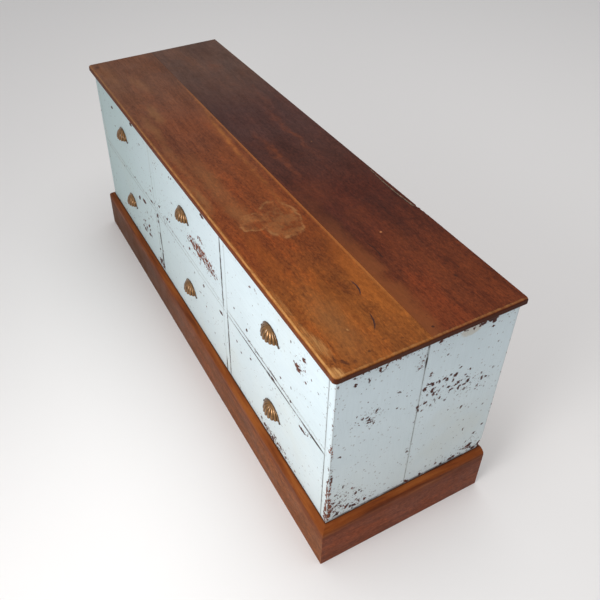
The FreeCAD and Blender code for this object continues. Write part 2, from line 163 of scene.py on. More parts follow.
def add_node(kind, feeds, sheet=None, **settings):
    """Adds a node with what feeds its sockets. Its sheet is the one that the feeding nodes lie on."""
    sheet = sheet or next(value.node.id_data for value in feeds.values() if isinstance(value, Value))
    node = sheet.nodes.new(kind)
    for key, setting in settings.items():
        setattr(node, key, setting)
    for key, value in feeds.items():
        feed(node.inputs[key], value)
    return Value(node)


def has_parts(value):
    return isinstance(value, tuple) or isinstance(value, Value) and value.socket.type != "VALUE"


def maths(operation, *values):
    """Works on numbers, or on the three parts of a place or colour where one is among the values."""
    kind = "ShaderNodeVectorMath" if any(map(has_parts, values)) else "ShaderNodeMath"
    return add_node(kind, dict(enumerate(values)), operation=operation)


print("values can be added, subtracted, multiplied and divided")

# %% [markdown]
# Masks and colours come up in every finish, so each common step gets a helper: the strongest of some masks, a
# smooth step between two levels, a mix of two colours, and a ramp of colours along a value. Colours are
# written as an eye reads them from a paint chart, from 0 to 255, and turned into a renderer's linear values.


# %% Masks and colours
def colour(red, green, blue):
    parts = [part / 255 for part in (red, green, blue)]
    return tuple([p / 12.92 if p < 0.04045 else ((p + 0.055) / 1.055) ** 2.4 for p in parts] + [1.0])


def strongest(*masks):
    """The highest of those masks that aren't None."""
    highest = None
    for mask in masks:
        if mask is not None:
            highest = maths("MAXIMUM", highest, mask) if highest else mask
    return highest


def step(value, start, end, low=0.0, high=1.0):
    """Goes smoothly from low to high while value goes from start to end."""
    feeds = {"Value": value, "From Min": start, "From Max": end, "To Min": low, "To Max": high}
    return add_node("ShaderNodeMapRange", feeds, interpolation_type="SMOOTHSTEP")


def mix(mask, first, second, how="MIX"):
    # The Mix node has sockets for numbers, places and colours under the same names, so these go by number
    mask_in, first_in, second_in, colour_out = 0, 6, 7, 2
    feeds = {mask_in: mask, first_in: first, second_in: second}
    return add_node("ShaderNodeMix", feeds, data_type="RGBA", blend_type=how)[colour_out]


def ramp(value, *stops):
    """Colours along a value. Each stop is its place and then the colour."""
    tones = add_node("ShaderNodeValToRGB", {0: value})
    tones.node.color_ramp.interpolation = "EASE"
    elements = tones.node.color_ramp.elements
    for number, (place, *tone) in enumerate(stops):
        element = elements[number] if number < 2 else elements.new(place)
        element.position = place
        element.color = colour(*tone)
    return tones


print("a mid grey of 128 is", round(colour(128, 128, 128)[0], 3), "in linear light")

# %% [markdown]
# A place is the point that is being coloured. It can be taken apart into x, y and z, turned around, so that a
# pattern runs along another axis, or fed to a noise, which is where all unevenness comes from.


# %% Places and noise
def axes_of(place):
    node = add_node("ShaderNodeSeparateXYZ", {0: place}).node
    return [Value(node, axis) for axis in "XYZ"]


def joined(x, y, z=0.0):
    return add_node("ShaderNodeCombineXYZ", {0: x, 1: y, 2: z})


def face_place(place, order):
    """Turns x, y, z around, so that the wanted axes come first: order is such as 'xz0' or 'yxz'."""
    parts = dict(zip("xyz0", axes_of(place) + [0.0]))
    return joined(*[parts[axis] for axis in order])


def scaled(place, factor):
    return add_node("ShaderNodeVectorMath", {0: place, "Scale": factor}, operation="SCALE")


def noise(place, scale, detail=3.0, rough=0.55, distortion=0.0):
    feeds = {"Vector": place, "Scale": scale, "Detail": detail, "Roughness": rough, "Distortion": distortion}
    return add_node("ShaderNodeTexNoise", feeds)


print("places can be turned, such as from xyz to yxz for a board that runs from front to back")

# %% [markdown]
# A node group is a finish step that is built once and used in many materials, each with its own values. Its
# named inputs and outputs are made on the group's interface. Each group below is written as a function that
# turns the named inputs into the named outputs.


# %% Helpers that build and use a node group
def new_group(title, inputs, work_out):
    """inputs gives each number its usual value, and None to a place. work_out makes the outputs by name."""
    sheet = bpy.data.node_groups.new(title, "ShaderNodeTree")
    for name, usual in inputs.items():
        kind = "NodeSocketVector" if usual is None else "NodeSocketFloat"
        socket = sheet.interface.new_socket(name, in_out="INPUT", socket_type=kind)
        if usual is not None:
            socket.default_value = usual
    made = work_out(Value(sheet.nodes.new("NodeGroupInput")))
    for name, value in made.items():
        kind = "NodeSocketVector" if value.socket.type == "VECTOR" else "NodeSocketFloat"
        sheet.interface.new_socket(name, in_out="OUTPUT", socket_type=kind)
    end = sheet.nodes.new("NodeGroupOutput")
    for name, value in made.items():
        feed(end.inputs[name], value)
    print("group:", title, "puts out", ", ".join(made))


def use_group(title, **feeds):
    feeds = {key.replace("_", " "): value for key, value in feeds.items()}
    return add_node("ShaderNodeGroup", feeds, node_tree=bpy.data.node_groups[title])


print("group helpers ready")

# %% [markdown]
# Every material starts in the same way, with a shader and the place on its piece, and most end with a bump
# that turns a height into relief.


# %% Helpers that start and end a material
def new_material(title):
    """A material, the sockets of its shader, and the place on its piece."""
    material = bpy.data.materials.new(title)
    material.use_nodes = True
    coordinates = add_node("ShaderNodeTexCoord", {}, material.node_tree)
    return material, material.node_tree.nodes["Principled BSDF"].inputs, coordinates["Object"]


def finish(shader, **feeds):
    for key, value in feeds.items():
        feed(shader[key.replace("_", " ")], value)


def bump(shader, height, strength, distance):
    feeds = {"Strength": strength, "Distance": distance, "Height": height}
    feed(shader["Normal"], add_node("ShaderNodeBump", feeds))


def make_piece(title, shape, material):
    """Turns a worked shape into an object of one material."""
    mesh = bpy.data.meshes.new(title)
    shape.to_mesh(mesh)
    shape.free()
    mesh.materials.append(material)
    return put_in_scene(title, mesh)


print("material helpers ready")

# %% [markdown]
# ## The floor and the light around
# The chest stands on a plain pale floor in soft daylight. The world gives an even light from all sides. What
# the camera and shiny things see of it is a separate pale tone, so the background stays light while no extra
# light falls on the chest.

# %% Floor and world
floor_paint = bpy.data.materials.new("pale_floor")
floor_paint.use_nodes = True
ray = add_node("ShaderNodeLightPath", {}, floor_paint.node_tree)
finish(floor_paint.node_tree.nodes["Principled BSDF"].inputs, Roughness=0.8,
       Base_Color=mix(ray["Is Camera Ray"], colour(214, 210, 207), colour(233, 230, 228)))
shape = bmesh.new()
bmesh.ops.create_grid(shape, x_segments=2, y_segments=2, size=9.0)
floor = make_piece("floor", shape, floor_paint)

world = bpy.data.worlds.new("daylight")
world.use_nodes = True
bpy.context.scene.world = world
sky = world.node_tree
sky.nodes.clear()
light_seen = add_node("ShaderNodeBackground", {"Color": colour(208, 206, 204), "Strength": 1.0}, sky)
light_given = add_node("ShaderNodeBackground", {"Color": colour(250, 252, 255), "Strength": 0.5}, sky)
ray = add_node("ShaderNodeLightPath", {}, sky)
seen = strongest(ray["Is Camera Ray"], ray["Is Glossy Ray"], ray["Is Transmission Ray"])
either = add_node("ShaderNodeMixShader", {0: seen, 1: light_given, 2: light_seen})
add_node("ShaderNodeOutputWorld", {"Surface": either})
print("floor of", round(floor.dimensions.x), "m, and the world's light is separate from what is seen of it")

# %% [markdown]
# ## The window light
# In the photograph a window lights the front from the camera's left. The near end of the front is brightest,
# the far end falls off, and the right end lies in shade. One soft lamp close to the front does that. It is
# narrowed, so that it doesn't burn out the floor, and a wide one overhead lights floor and top evenly.


# %% Lamps
def soft_lamp(name, place, target, size, power, spread=180):
    lamp = bpy.data.lights.new(name, "AREA")
    lamp.shape = "DISK"
    lamp.size = size
    lamp.energy = power
    lamp.spread = math.radians(spread)
    holder = put_in_scene(name, lamp)
    holder.location = place
    holder.rotation_euler = (Vector(target) - Vector(place)).to_track_quat("-Z", "Y").to_euler()


soft_lamp("window", (1.0, -1.7, 1.3), (0.55, -0.1, 0.4), 1.2, 8.9, spread=100)
soft_lamp("overhead", (0.0, 0.3, 4.5), (0.0, 0.3, 0.0), 4.0, 80.0)
print("lamps:", [lamp.name for lamp in bpy.data.lights])

# %% [markdown]
# ## Wood grain
# Sawn wood shows three things at once: broad figure, streaks along the board, and short fine fibres. All are
# noise that is stretched along the grain. The first part of the place is the way along the grain, so each
# material turns the coordinates before it hands them in.


# %% Group: wood grain
def wood_grain(given):
    moved = given["Place"] + joined(given["Seed"] * 1.7, given["Seed"] * 0.9, given["Seed"] * 0.35)
    moved = moved + noise(moved, 2.2, 1.0)["Color"] * (0.0, 0.05, 0.03)
    along = moved * joined(1.0 / given["Stretch"], 1.0, 1.0)
    per_metre = 1.0 / given["Streak Width"]
    streaks = noise(along, per_metre, 5.0, 0.62)
    fibres = noise(along, per_metre * 7.0, 3.0, 0.7)
    figure = noise(along, per_metre * 0.22, 2.0, 0.5)
    return {"Streaks": step(streaks, 0.3, 0.7), "Fibres": step(fibres, 0.35, 0.65),
            "Figure": step(figure, 0.3, 0.7), "Height": streaks * 0.4 + fibres}


new_group("wood grain", {"Place": None, "Seed": 0.0, "Streak Width": 0.012, "Stretch": 14.0}, wood_grain)

# %% [markdown]
# ## Marks in known places
# Chips, stains and slits sit where the years put them. Each is an ellipse on the face with a ragged rim. The
# rim is ragged because the place itself is shaken by noise first, once for all marks on a face.

# %% Groups: ragged place and placed mark
middle_grey = (0.5, 0.5, 0.5)


def ragged_place(given):
    push = noise(given["Place"], 1.0 / given["Lump"], 4.0, 0.65)["Color"] - middle_grey
    return {"Place": given["Place"] + scaled(push, given["Push"] * 4.0)}


def placed_mark(given):
    feeds = {"Vector": given["Place"] - given["Centre"], "Angle": given["Turn"] * -1.0}
    turned = add_node("ShaderNodeVectorRotate", feeds, rotation_type="Z_AXIS")
    reach = maths("LENGTH", turned / given["Half Size"])["Value"]
    return {"Mask": step(reach, 1.0 - given["Soft"], 1.0 + given["Soft"], 1.0, 0.0), "Reach": reach}


new_group("ragged place", {"Place": None, "Lump": 0.01, "Push": 0.003}, ragged_place)
new_group("placed mark", {"Place": None, "Centre": None, "Half Size": None, "Turn": 0.0, "Soft": 0.15},
          placed_mark)

# %% [markdown]
# Marks are listed as a restorer would note them, in mm and parted by commas: the place across and up (or
# back), half the length and half the width. A turn in degrees follows where there is one, and a strength
# below 1 after that.


# %% Put a list of marks on a face
def metres(*lengths):
    return tuple(length / 1000 for length in lengths)


def read_marks(text):
    rows = [[float(number) for number in mark.split()] for mark in text.split(",")]
    turn_and_strength = [0.0, 1.0]
    return [row + turn_and_strength[len(row) - 4:] for row in rows]


def one_mark(place, across, up, half_length, half_width, turn, soft):
    return use_group("placed mark", Place=place, Centre=metres(across, up, 0), Turn=turn, Soft=soft,
                     Half_Size=(*metres(half_length, half_width), 1.0))


def place_marks(place, marks, soft):
    """The strongest mask of all the marks, or None where there are none."""
    total = None
    rows = read_marks(marks) if isinstance(marks, str) else marks
    for across, up, half_length, half_width, turn, strength in rows:
        mask = one_mark(place, across, up, half_length, half_width, math.radians(turn), soft)
        total = strongest(total, mask if strength == 1.0 else mask * strength)
    return total


def shaken(place, lump, push):
    return use_group("ragged place", Place=place, Lump=lump, Push=push)


print("a mark of 4 numbers reads as", read_marks("456 150 7 5"))

# %% [markdown]
# ## Chipped paint
# Old paint leaves a board in flakes: ragged, with a raised lip, and closer together where knocks are common.
# A noise is cut off at a level that a density lowers, so the same group gives a clean panel where the density
# is near nought and a scarred one where it is high.


# %% Group: paint chips
def paint_chips(given):
    flakes = noise(given["Place"], 1.0 / given["Flake Size"], 6.0, 0.62, 0.4)
    level = step(given["Density"], 0.2, 1.0, 0.82, 0.455)
    return {"Bare": step(flakes, level - 0.008, level + 0.008), "Lip": step(flakes, level - 0.06, level)}


new_group("paint chips", {"Place": None, "Density": 0.0, "Flake Size": 0.009}, paint_chips)

# %% [markdown]
# Small chips are separate: each is a spot of its own size. A Voronoi texture gives every cell a random
# colour, so one part of it decides whether the cell has lost its paint, and another how much. A last group
# measures how far a point is from the edges of its board.


# %% Groups: flecks and edge distance
def separate_flecks(given):
    density, cell_size = given["Density"], given["Cell Size"]
    per_metre = 1.0 / cell_size
    push = noise(given["Place"], per_metre * 2.2, 4.0, 0.75)["Color"] - middle_grey
    cells = add_node("ShaderNodeTexVoronoi", {"Vector": given["Place"] + scaled(push, cell_size * 2.1),
                                              "Scale": per_metre})
    chance = add_node("ShaderNodeSeparateColor", {0: cells["Color"]})
    limit = density * density
    lost = step(chance["Red"], limit - 0.005, limit + 0.005, 1.0, 0.0)
    radius = 0.12 + maths("POWER", chance["Green"], 2.5) * 0.42
    return {"Bare": lost * step(cells["Distance"], radius - 0.03, radius + 0.03, 1.0, 0.0)}


def edge_distance(given):
    gaps = []
    for first, second in (("Place", "Low"), ("High", "Place")):
        across, up, _ = axes_of(given[first] - given[second])
        gaps.append(maths("MINIMUM", across, up))
    return {"Distance": maths("MINIMUM", *gaps)}


new_group("flecks", {"Place": None, "Density": 0.0, "Cell Size": 0.006}, separate_flecks)
new_group("edge distance", {"Place": None, "Low": None, "High": None}, edge_distance)


def flecks(place, density, cell_size):
    return use_group("flecks", Place=place, Density=density, Cell_Size=cell_size)


# %% [markdown]
# ## Where the paint is hurt
# These tables are the restorer's condition report. On the front the first number runs from the chest's middle
# to the right and the second up from the floor. On the ends the first runs from the middle to the back.
# Clusters raise the density of chips around them, and knocks are single bare places.

# %% The condition report: the front
front_clusters = read_marks("""
    100 450 106 29 0 0.9, 95 455 66 16 0 0.96, 105 494 30 9 0 0.78, 30 445 34 20 30 0.74,
    168 442 36 26 0 0.84, 60 422 50 20 20 0.56, 194 448 18 24 0 0.66, 90 440 130 60 0 0.42,
    20 408 11 8 40 0.8, -378 224 54 32 10 0.6, -150 400 34 12 30 0.5, -130 450 50 30 30 0.36,
    -95 485 10 16 0 0.5, 510 152 95 18 0 0.78, 440 160 40 16 30 0.5, 640 150 60 14 0 0.3,
    380 150 80 14 0 0.34, 625 535 26 40 25 0.62, 612 508 14 12 0 0.95, 632 556 14 9 0 0.9,
    500 378 190 10 0 0.6, 600 350 90 14 0 0.5, 520 340 40 12 40 0.38, 746 235 5 100, 744 165 9 36,
    747 395 5 22 0 0.9, 747 330 4 26 0 0.8, 748 475 3 16 0 0.7, 747 565 3 16 0 0.6, 737 525 8 6 0 0.5,
    -262 160 24 18 40 0.95, -200 388 60 46 0 0.52, -255 360 40 40 0 0.55, -205 560 18 40 0 0.5,
    -300 420 20 50 20 0.45, -330 300 60 40 0 0.36, -245 150 14 22 0 0.9, -290 378 16 5 0 0.6,
    -560 160 120 20 0 0.36, -80 150 200 10 0 0.32""")
front_knocks = read_marks("""
    132 586 13 5, 216 333 11 5.5 5, 636 336 15 4.5, 370 405 5 4 40, 584 375 5 4 20, 608 504 3 6,
    620 512 9 2.5 40, 634 557 9 2.2 35, 581 559 2.5 4, 104 338 8 5 40 0.8, 386 321 5 3 45, 332 293 4 2.5 45,
    393 561 7 3 20 0.8, 302 420 5 2.5 45 0.8, 585 421 2.5 4.5, 538 406 4 2.5 30, 20 408 7 5 50,
    -150 398 8 4 40, -213 403 8 3.5 30, -130 401 8 2.5 45 0.8, -77 577 5 3 40 0.8, 502 366 8 3,
    -285 378 12 3.5 10, -265 165 8 3 45, -270 150 6 4 30, 456 150 7 5 50, 500 142 6 4, 515 165 5 3 60,
    540 155 4 6, 564 145 5 4 40, 440 158 4 6, -365 330 17 7 8, -415 315 12 6 40, -350 243 12 5 38,
    -344 230 7 4 35, -390 239 9 4 30 0.8, -414 204 10 4 28 0.8, -397 201 10 6 38, -352 207 10 6 20,
    -336 211 6 4 0 0.9, -376 219 9 5 35 0.8, -436 380 9 3 25 0.7, -330 381 9 3 15 0.5, -243 351 6 9 -30,
    -243 329 5 7 -30, -258 212 9 3.5 40 0.8, -398 586 12 5 10, -592 555 11 4 15, 97 425 5 4, 75 440 5 4 30""")
print(len(front_clusters), "clusters and", len(front_knocks), "knocks on the front")

# %% The condition report: the ends
end_clusters = read_marks("""
    -186 170 44 42 0 0.78, -140 160 70 20 0 0.72, -110 598 100 8 0 0.74, 110 600 110 6 0 0.7,
    -10 560 16 30 0 0.6, 40 575 24 14 0 0.6, 180 165 50 26 0 0.6, 70 446 76 36 -8 0.55,
    150 410 60 34 -10 0.5, 30 410 34 24 0 0.5, 22 505 8 12 0 0.8, -122 442 16 22 30 0.74,
    -172 215 34 50 0 0.6, -140 190 30 40 0 0.52, -125 460 40 22 0 0.55, -13 572 10 10 0 0.5,
    25 572 14 6 0 0.6, -100 588 22 10 0 0.5, -63 574 6 10 0 0.5, 145 597 26 7 0 0.95, -207 235 5 100 0 0.95,
    -200 205 10 26 0 0.95, -203 160 9 26 0 0.95, -207 385 5 24 0 0.9, -207 480 3 18 0 0.6,
    -207 320 4 28 0 0.8, -150 152 24 10 0 0.8, -175 200 28 46 0 0.48, -160 290 14 22 0 0.42,
    -110 150 60 8 0 0.48, 8 144 8 6 0 0.8, 52 144 10 6 0 0.8, 108 145 6 5 0 0.7, 140 147 12 6 0 0.85,
    188 157 16 12 0 0.95, 206 144 10 8 0 0.95, 224 152 10 13, 200 180 26 26 0 0.42, 90 160 80 14 0 0.34,
    -60 150 60 8 0 0.38""")
end_knocks = read_marks("""
    -166 574 4 5, -136 573 2 7 15, -111 590 3 6, -97 592 2 5, 30 597 6 4, 135 597 7 5, 160 598 14 5,
    166 590 5 5, 165 575 4 3, 55 547 4 2.5 -20 0.8, 130 342 4.5 4, 155 245 3 5 -20, 195 208 4.5 3.5,
    215 228 3 3.5, 175 185 2.5 4 0 0.8, 198 312 3 4 20 0.8, -188 365 5 3 -20, 10 466 7 5 40, 21 476 8 3 -8,
    31 470 4 6 20, 33 450 3.5 8 -10, 38 436 3 6 12, 47 471 3 7 10, 61 473 6 3 10, 68 466 4 5, 77 476 3.5 3,
    91 468 6 6, 86 454 3 5 -20, 78 437 5 4 -30, 86 424 6 3 15, 97 433 6 3 -5, 104 438 4 5, 107 418 3 7,
    122 423 5 2.5, 130 428 4 5, 140 418 2 4 0 0.7, 20 419 5 4 30, 2 404 3 4 30, 45 412 2 8 10 0.8,
    58 414 2.5 4, 20 441 3 4 0 0.8, 52 440 3 4 0 0.7, 73 396 3 4 30 0.8, 125 405 3 5 0 0.8,
    168 434 3 3 0 0.9, 172 415 3 7, 183 414 2.5 4, 162 397 3 5 0 0.9, 160 386 2 3 0 0.7, 198 437 3 2 0 0.6,
    -55 494 6 2 -15 0.8, -55 443 3 3, 100 486 3 4, 130 466 4 2 -30, 193 518 3 2.5 -30 0.8, 0 416 4 5,
    -108 468 3 4 -30, -130 457 3 3, -136 200 3 6, -172 250 2.5 4, 191 165 6 7, 205 143 6 5, 9 142 6 4,
    47 144 4 5, 108 144 4 4, 133 146 5 5, 145 147 5 4, -148 154 4 4, -137 154 6 4""")
print(len(end_clusters), "clusters and", len(end_knocks), "knocks on the ends")

# %% [markdown]
# Where a drawer moves freely, its gap has filled with dark grime, and the paint beside it has rubbed off.
# These lines follow the gaps that show dark, the seam between the two planks of the end, and the foot of the
# front and the ends just above the plinth. They are partly grime and partly painted shade, which stands for the
# shade inside the gaps and in the crease above the plinth. The warm areas are where the bare wood is orange
# rather than dark.

# %% The condition report: dark gaps and warm wood
# Dark lines: partly grime and partly painted shade, for the shade inside the gaps and in the crease above the
# plinth
front_gap_grime_and_shade = read_marks("""
    234.8 489 3.8 118, 234.8 390 3.3 22, 236 158 2.9 30, 257.8 250 3.5 130, 257.5 335 2.2 10 0 0.9,
    -238 266 5 34, -239 181 6 34, -234.8 250 2.4 115, 727.5 250 1.4 130 0 0.95, 727.5 480 1 130 0 0.5,
    480 361.3 210 2.6, 676 361 50 4.2, 487 361.4 28 5, 420 378.2 18 3.2, 500 378.2 24 3.2,
    440 377.8 170 2 0 0.7, -80 378 40 1.4 0 0.35, -290 378 30 1.6 0 0.5, 0 137.6 760 1.3 0 0.5""")
end_gap_grime_and_shade = read_marks("""
    0 138.4 232 4 0 0.75, 1 370 0.9 260 0 0.7, 1 575 2.8 48, 1 415 1.8 24 0 0.7""")
warm_front = read_marks("""
    100 450 120 50 0 0.8, 746 390 8 30, 746 200 10 90 0 0.55, 615 530 40 50 0 0.5, 672 361 52 6 0 0.5,
    -380 226 70 40 0 0.15, 746 560 8 60 0 0.5""")
warm_end = read_marks("""
    -207 388 8 40, -97 592 6 8 0 0.9, -207 200 8 80 0 0.85""")
print(len(front_gap_grime_and_shade) + len(end_gap_grime_and_shade), "dark lines")

# %% [markdown]
# ## The paint
# The paint is a satin duck-egg blue, brushed along the boards over an older red-brown stain. Its tone is painted
# greyer and darker towards the far end, as painted shade where the window light falls off, and a little lighter
# towards the top, as painted light from above. The tone is one function, because the boards and the paint that
# dried in the gaps both use it.


# %% The paint's own tone
def paint_tone(place, axes, grain_order):
    """The paint's colour, and the height of its brush marks."""
    x, z = axes[0], axes[2]
    # Painted light: the paint is lighter towards the top, and greyer and darker towards the far end, as painted
    # shade where the window light falls off
    near = mix(step(z, 0.14, 0.58), colour(213, 224, 226), colour(218, 233, 239))
    tone = mix(step(x, 0.34, -0.84), near, colour(181, 204, 204))
    cloud, warm = noise(place, 5.0, 3.0, 0.6), noise(place, 3.1, 4.0, 0.6)
    tone = mix(step(cloud, 0.35, 0.7, 0.0, 0.30), tone, colour(196, 212, 218))
    tone = mix(step(warm, 0.52, 0.72, 0.0, 0.28), tone, colour(206, 205, 190))
    brush = noise(face_place(place, grain_order) * (0.08, 1.0, 1.0), 260.0, 3.0, 0.6)
    return mix(step(brush, 0.35, 0.7, 0.0, 0.20), tone, colour(192, 206, 210)), brush


print("paint tone ready")

# %% [markdown]
# Each painted board has its own material, because only the marks that touch the board are worth their nodes.


# %% Find the marks on a board
front_report = [front_clusters, front_knocks, front_gap_grime_and_shade, warm_front]
end_report = [end_clusters, end_knocks, end_gap_grime_and_shade, warm_end]
# In mm: from the end's middle past its edges, and where the last strip of the front starts
half_depth = 232
corner_strip = 736


def near_face(marks, low, high, margin=30):
    """Keeps the marks whose ellipse could touch the board between these corners, given in mm."""
    kept = []
    for mark in marks:
        half = max(mark[2], mark[3]) + margin
        if all(low[axis] - half < mark[axis] < high[axis] + half for axis in (0, 1)):
            kept.append(mark)
    return kept


def marks_on(name, faces):
    """The clusters, knocks, dark lines and warm areas that touch this board."""
    low, high = [corner * 1000 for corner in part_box(name)]
    if faces == "front":
        return [near_face(marks, (low.x, low.z), (high.x, high.z)) for marks in front_report]
    right, foremost = high.x > 0, low.y < front_y * 1000 + 10
    start, stop = (low.y, high.y) if right and not foremost else (-half_depth, half_depth)
    found = [near_face(marks, (start, low.z), (stop, high.z)) for marks in end_report]
    if right and foremost:
        # This plank's narrow edge is the last strip of the front
        strips = [[mark for mark in marks if mark[0] > corner_strip] for marks in front_report]
        found = [marks + strip for marks, strip in zip(found, strips)]
    return found


print("marks on a drawer:", [len(marks) for marks in marks_on("lower_right_drawer_front", "front")])

# %% [markdown]
# The paint lies only on faces that a brush could reach when the drawers were shut, so a drawer's sides and
# the carcass inside stay bare. A front board is read by x and z. An end plank is read by y and z, but its
# narrow front edge by x and z, so the way across is blended by which face the point is on.


# %% The place on a painted face
def flat_and_rim(place, order, low, high):
    """The flat place on the face that these two axes span, and the distance to the board's edges there."""
    flat = face_place(place, order + "0")
    corners = [tuple(getattr(corner, axis) for axis in order) + (0.0,) for corner in (low, high)]
    return flat, use_group("edge distance", Place=flat, Low=corners[0], High=corners[1])


def painted_face(place, axes, name, faces):
    """The flat place on the board, the distance to its edges, and where the brush reached."""
    x, y, z = axes
    low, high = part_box(name)
    on_front = step(y, front_y + 0.0008, front_y + 0.0013, 1.0, 0.0)
    front_flat, front_rim = flat_and_rim(place, "xz", low, high)
    if faces == "front":
        return front_flat, front_rim, on_front
    on_end = 1.0 - on_front
    way = 1.0 if high.x > 0 else -1.0
    across = x * on_front + y * way * on_end
    rim = front_rim * on_front + flat_and_rim(place, "yz", low, high)[1] * on_end
    side = step(abs(x), end_x - 0.0012, end_x - 0.0008)
    above = step(z, plinth_z - 0.003, plinth_z - 0.001)
    return joined(across, z), rim, strongest(on_front, side) * above


print("face helpers ready")

# %% [markdown]
# Bare patches show the stained wood, a little lower than the paint, which the bump brings out. Three sizes of
# flake lie over each other: broad ones where the clusters are strong, small ones around them, and fine pale
# specks everywhere.


# %% The paint's material
def painted_board(name, faces, base_density, wear, grain_order):
    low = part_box(name)[0]
    clusters, knocks, gaps, warm = marks_on(name, faces)
    paint, shader, place = new_material("paint_" + name)
    axes = axes_of(place)
    flat, rim, reached = painted_face(place, axes, name, faces)
    broad_push, fine_push = (0.0022, 0.0013) if faces == "front" else (0.0034, 0.0021)
    ragged = shaken(shaken(flat, 0.008, broad_push), 0.0034, fine_push)

    # How likely a chip is here: a little everywhere, more in the clusters and along the board's edges
    crowd = place_marks(shaken(flat, 0.024, 0.0075), clusters, 0.6)
    density = strongest(base_density + step(rim, 0.0, 0.012, wear, 0.0), crowd)
    broad = use_group("paint chips", Place=place, Density=density, Flake_Size=0.0105)
    small = flecks(place, density, 0.0070)
    tiny = flecks(place + (0.7, 0.2, 0.4), density + 0.03, 0.0036)
    specks = flecks(place + (0.1, 0.6, 0.9), density * 0.5 + 0.24, 0.0050)
    knocked = place_marks(ragged, knocks, 0.12)
    covered = reached * (1.0 - strongest(small, tiny, broad["Bare"], knocked))

    # The stained wood below is dark red-brown, and orange in the warm areas
    grain = use_group("wood grain", Place=face_place(place, grain_order), Seed=low.x + low.z, Stretch=12.0)
    stain = ramp(grain["Streaks"], (0.0, 50, 19, 14), (0.6, 78, 30, 21), (1.0, 104, 46, 30))
    glow = place_marks(flat, warm, 0.5)
    if glow:
        orange = ramp(grain["Fibres"], (0.0, 80, 38, 24), (0.5, 128, 64, 34), (1.0, 154, 84, 46))
        stain = mix(glow * 0.8, stain, orange)
    if knocked:
        stain = mix(knocked * 0.6, stain, colour(62, 18, 10))
    raw = ramp(grain["Streaks"], (0.0, 74, 50, 36), (1.0, 108, 78, 54))

    # The paint's own tone, greyed at its edges and round the flakes, with fine specks
    tone, brush = paint_tone(place, axes, grain_order)
    tone = mix(step(rim, 0.0, 0.005, 0.25, 0.0), tone, colour(150, 148, 138))
    tone = mix(broad["Lip"] * 0.2, tone, colour(172, 168, 160))
    tone = mix(specks * 0.5, tone, colour(128, 120, 116))
    if name == "right_end_back_plank":
        cream = place_marks(shaken(flat, 0.02, 0.003), "106 592 25 15", 0.2)
        tone = mix(cream * 0.55, tone, colour(196, 182, 158))

    # Dark lines along the gaps, broken here and there: partly grime, partly painted shade inside the gaps and in
    # the crease above the plinth
    gap_grime_and_shade = place_marks(shaken(flat, 0.006, 0.0004), gaps, 0.35)
    if gap_grime_and_shade:
        broken = step(noise(place, 38.0, 4.0, 0.65), 0.36, 0.52, 0.3, 1.0)
        tone = mix(gap_grime_and_shade * broken, tone, colour(42, 25, 20))
    finish(shader, Base_Color=mix(covered, mix(reached, raw, stain), tone),
           Roughness=step(covered, 0.0, 1.0, 0.78, 0.46))
    bump(shader, covered + brush * 0.18 + grain["Height"] * 0.12, 0.6, 0.0006)
    nodes[name].data.materials[0] = paint


for name in nodes:
    if name.endswith("_drawer_front"):
        painted_board(name, "front", 0.09, 0.15, "xyz")
    elif "_end_" in name:
        painted_board(name, "end", 0.09, 0.18, "zxy")
for name in ("dividers", "middle_rails", "top_rails", "carcass_bottom"):
    painted_board(name, "front", 0.14, 0.10, "zxy" if name == "dividers" else "xyz")
print("painted:", len([m for m in bpy.data.materials if m.name.startswith("paint_")]), "boards")

# %% [markdown]
# ## Paint in the gaps
# Most gaps round the drawers are hardly seen, because paint ran into them and dried. It is a real body of
# paint, so it is modelled: a low uneven ridge on the carcass side of the gap, which stops just short of the
# drawer, so the drawer still slides. Over the middle rails it stays clear of the drawers' sides, which are
# lower than the fronts.


# %% Paint that dried in the gaps
def skin(shape, rows, closed=False):
    """Faces between each row of corners and the next. Closed rows go round."""
    for first, second in zip(rows, rows[1:]):
        for left in range(len(first) if closed else len(first) - 1):
            right = (left + 1) % len(first)
            shape.faces.new((first[left], first[right], second[right], second[left]))


def capped(shape, rows):
    """A solid along closed rows, with a face at each end."""
    skin(shape, rows, closed=True)
    shape.faces.new(rows[0])
    shape.faces.new(rows[-1])


dried, shader, place = new_material("dried_paint")
tone, brush = paint_tone(place, axes_of(place), "xyz")
crumbs = use_group("paint chips", Place=place, Density=0.42, Flake_Size=0.012)["Bare"]
tone = mix(crumbs * 0.7, tone, colour(96, 74, 62))
finish(shader, Base_Color=mix(0.3, tone, colour(176, 180, 176)), Roughness=step(brush, 0.3, 0.7, 0.5, 0.62))
print("material:", dried.name)

# %% Ridges of dried paint
# Each gap has its direction, the carcass edge and the way to the drawer, and then its filled stretches, in mm
filled_gaps = {("up", -728.0, 1): [(140, 600)], ("up", -257.3, -1): [(140, 360), (379, 600)],
               ("up", -235.3, 1): [(379, 600)], ("up", 257.3, 1): [(379, 600)], ("up", 235.3, -1): [(190, 360)],
               ("along", 362.0, -1): [(-726, -259), (-233, 233), (259, 345), (352, 372), (394, 428), (560, 578),
                                      (600, 624)],
               ("along", 377.0, 1): [(-714, -330), (-221, -120), (-45, 221), (272, 300), (322, 356), (378, 396),
                                     (430, 468), (500, 556), (590, 714)],
               ("along", 602.0, -1): [(-726, -259), (-233, 233), (259, 726)]}
uneven = random.Random(11)
row_apart, lap, ridge_width = 22, 0.05, 0.9
foot = front_y + 0.004


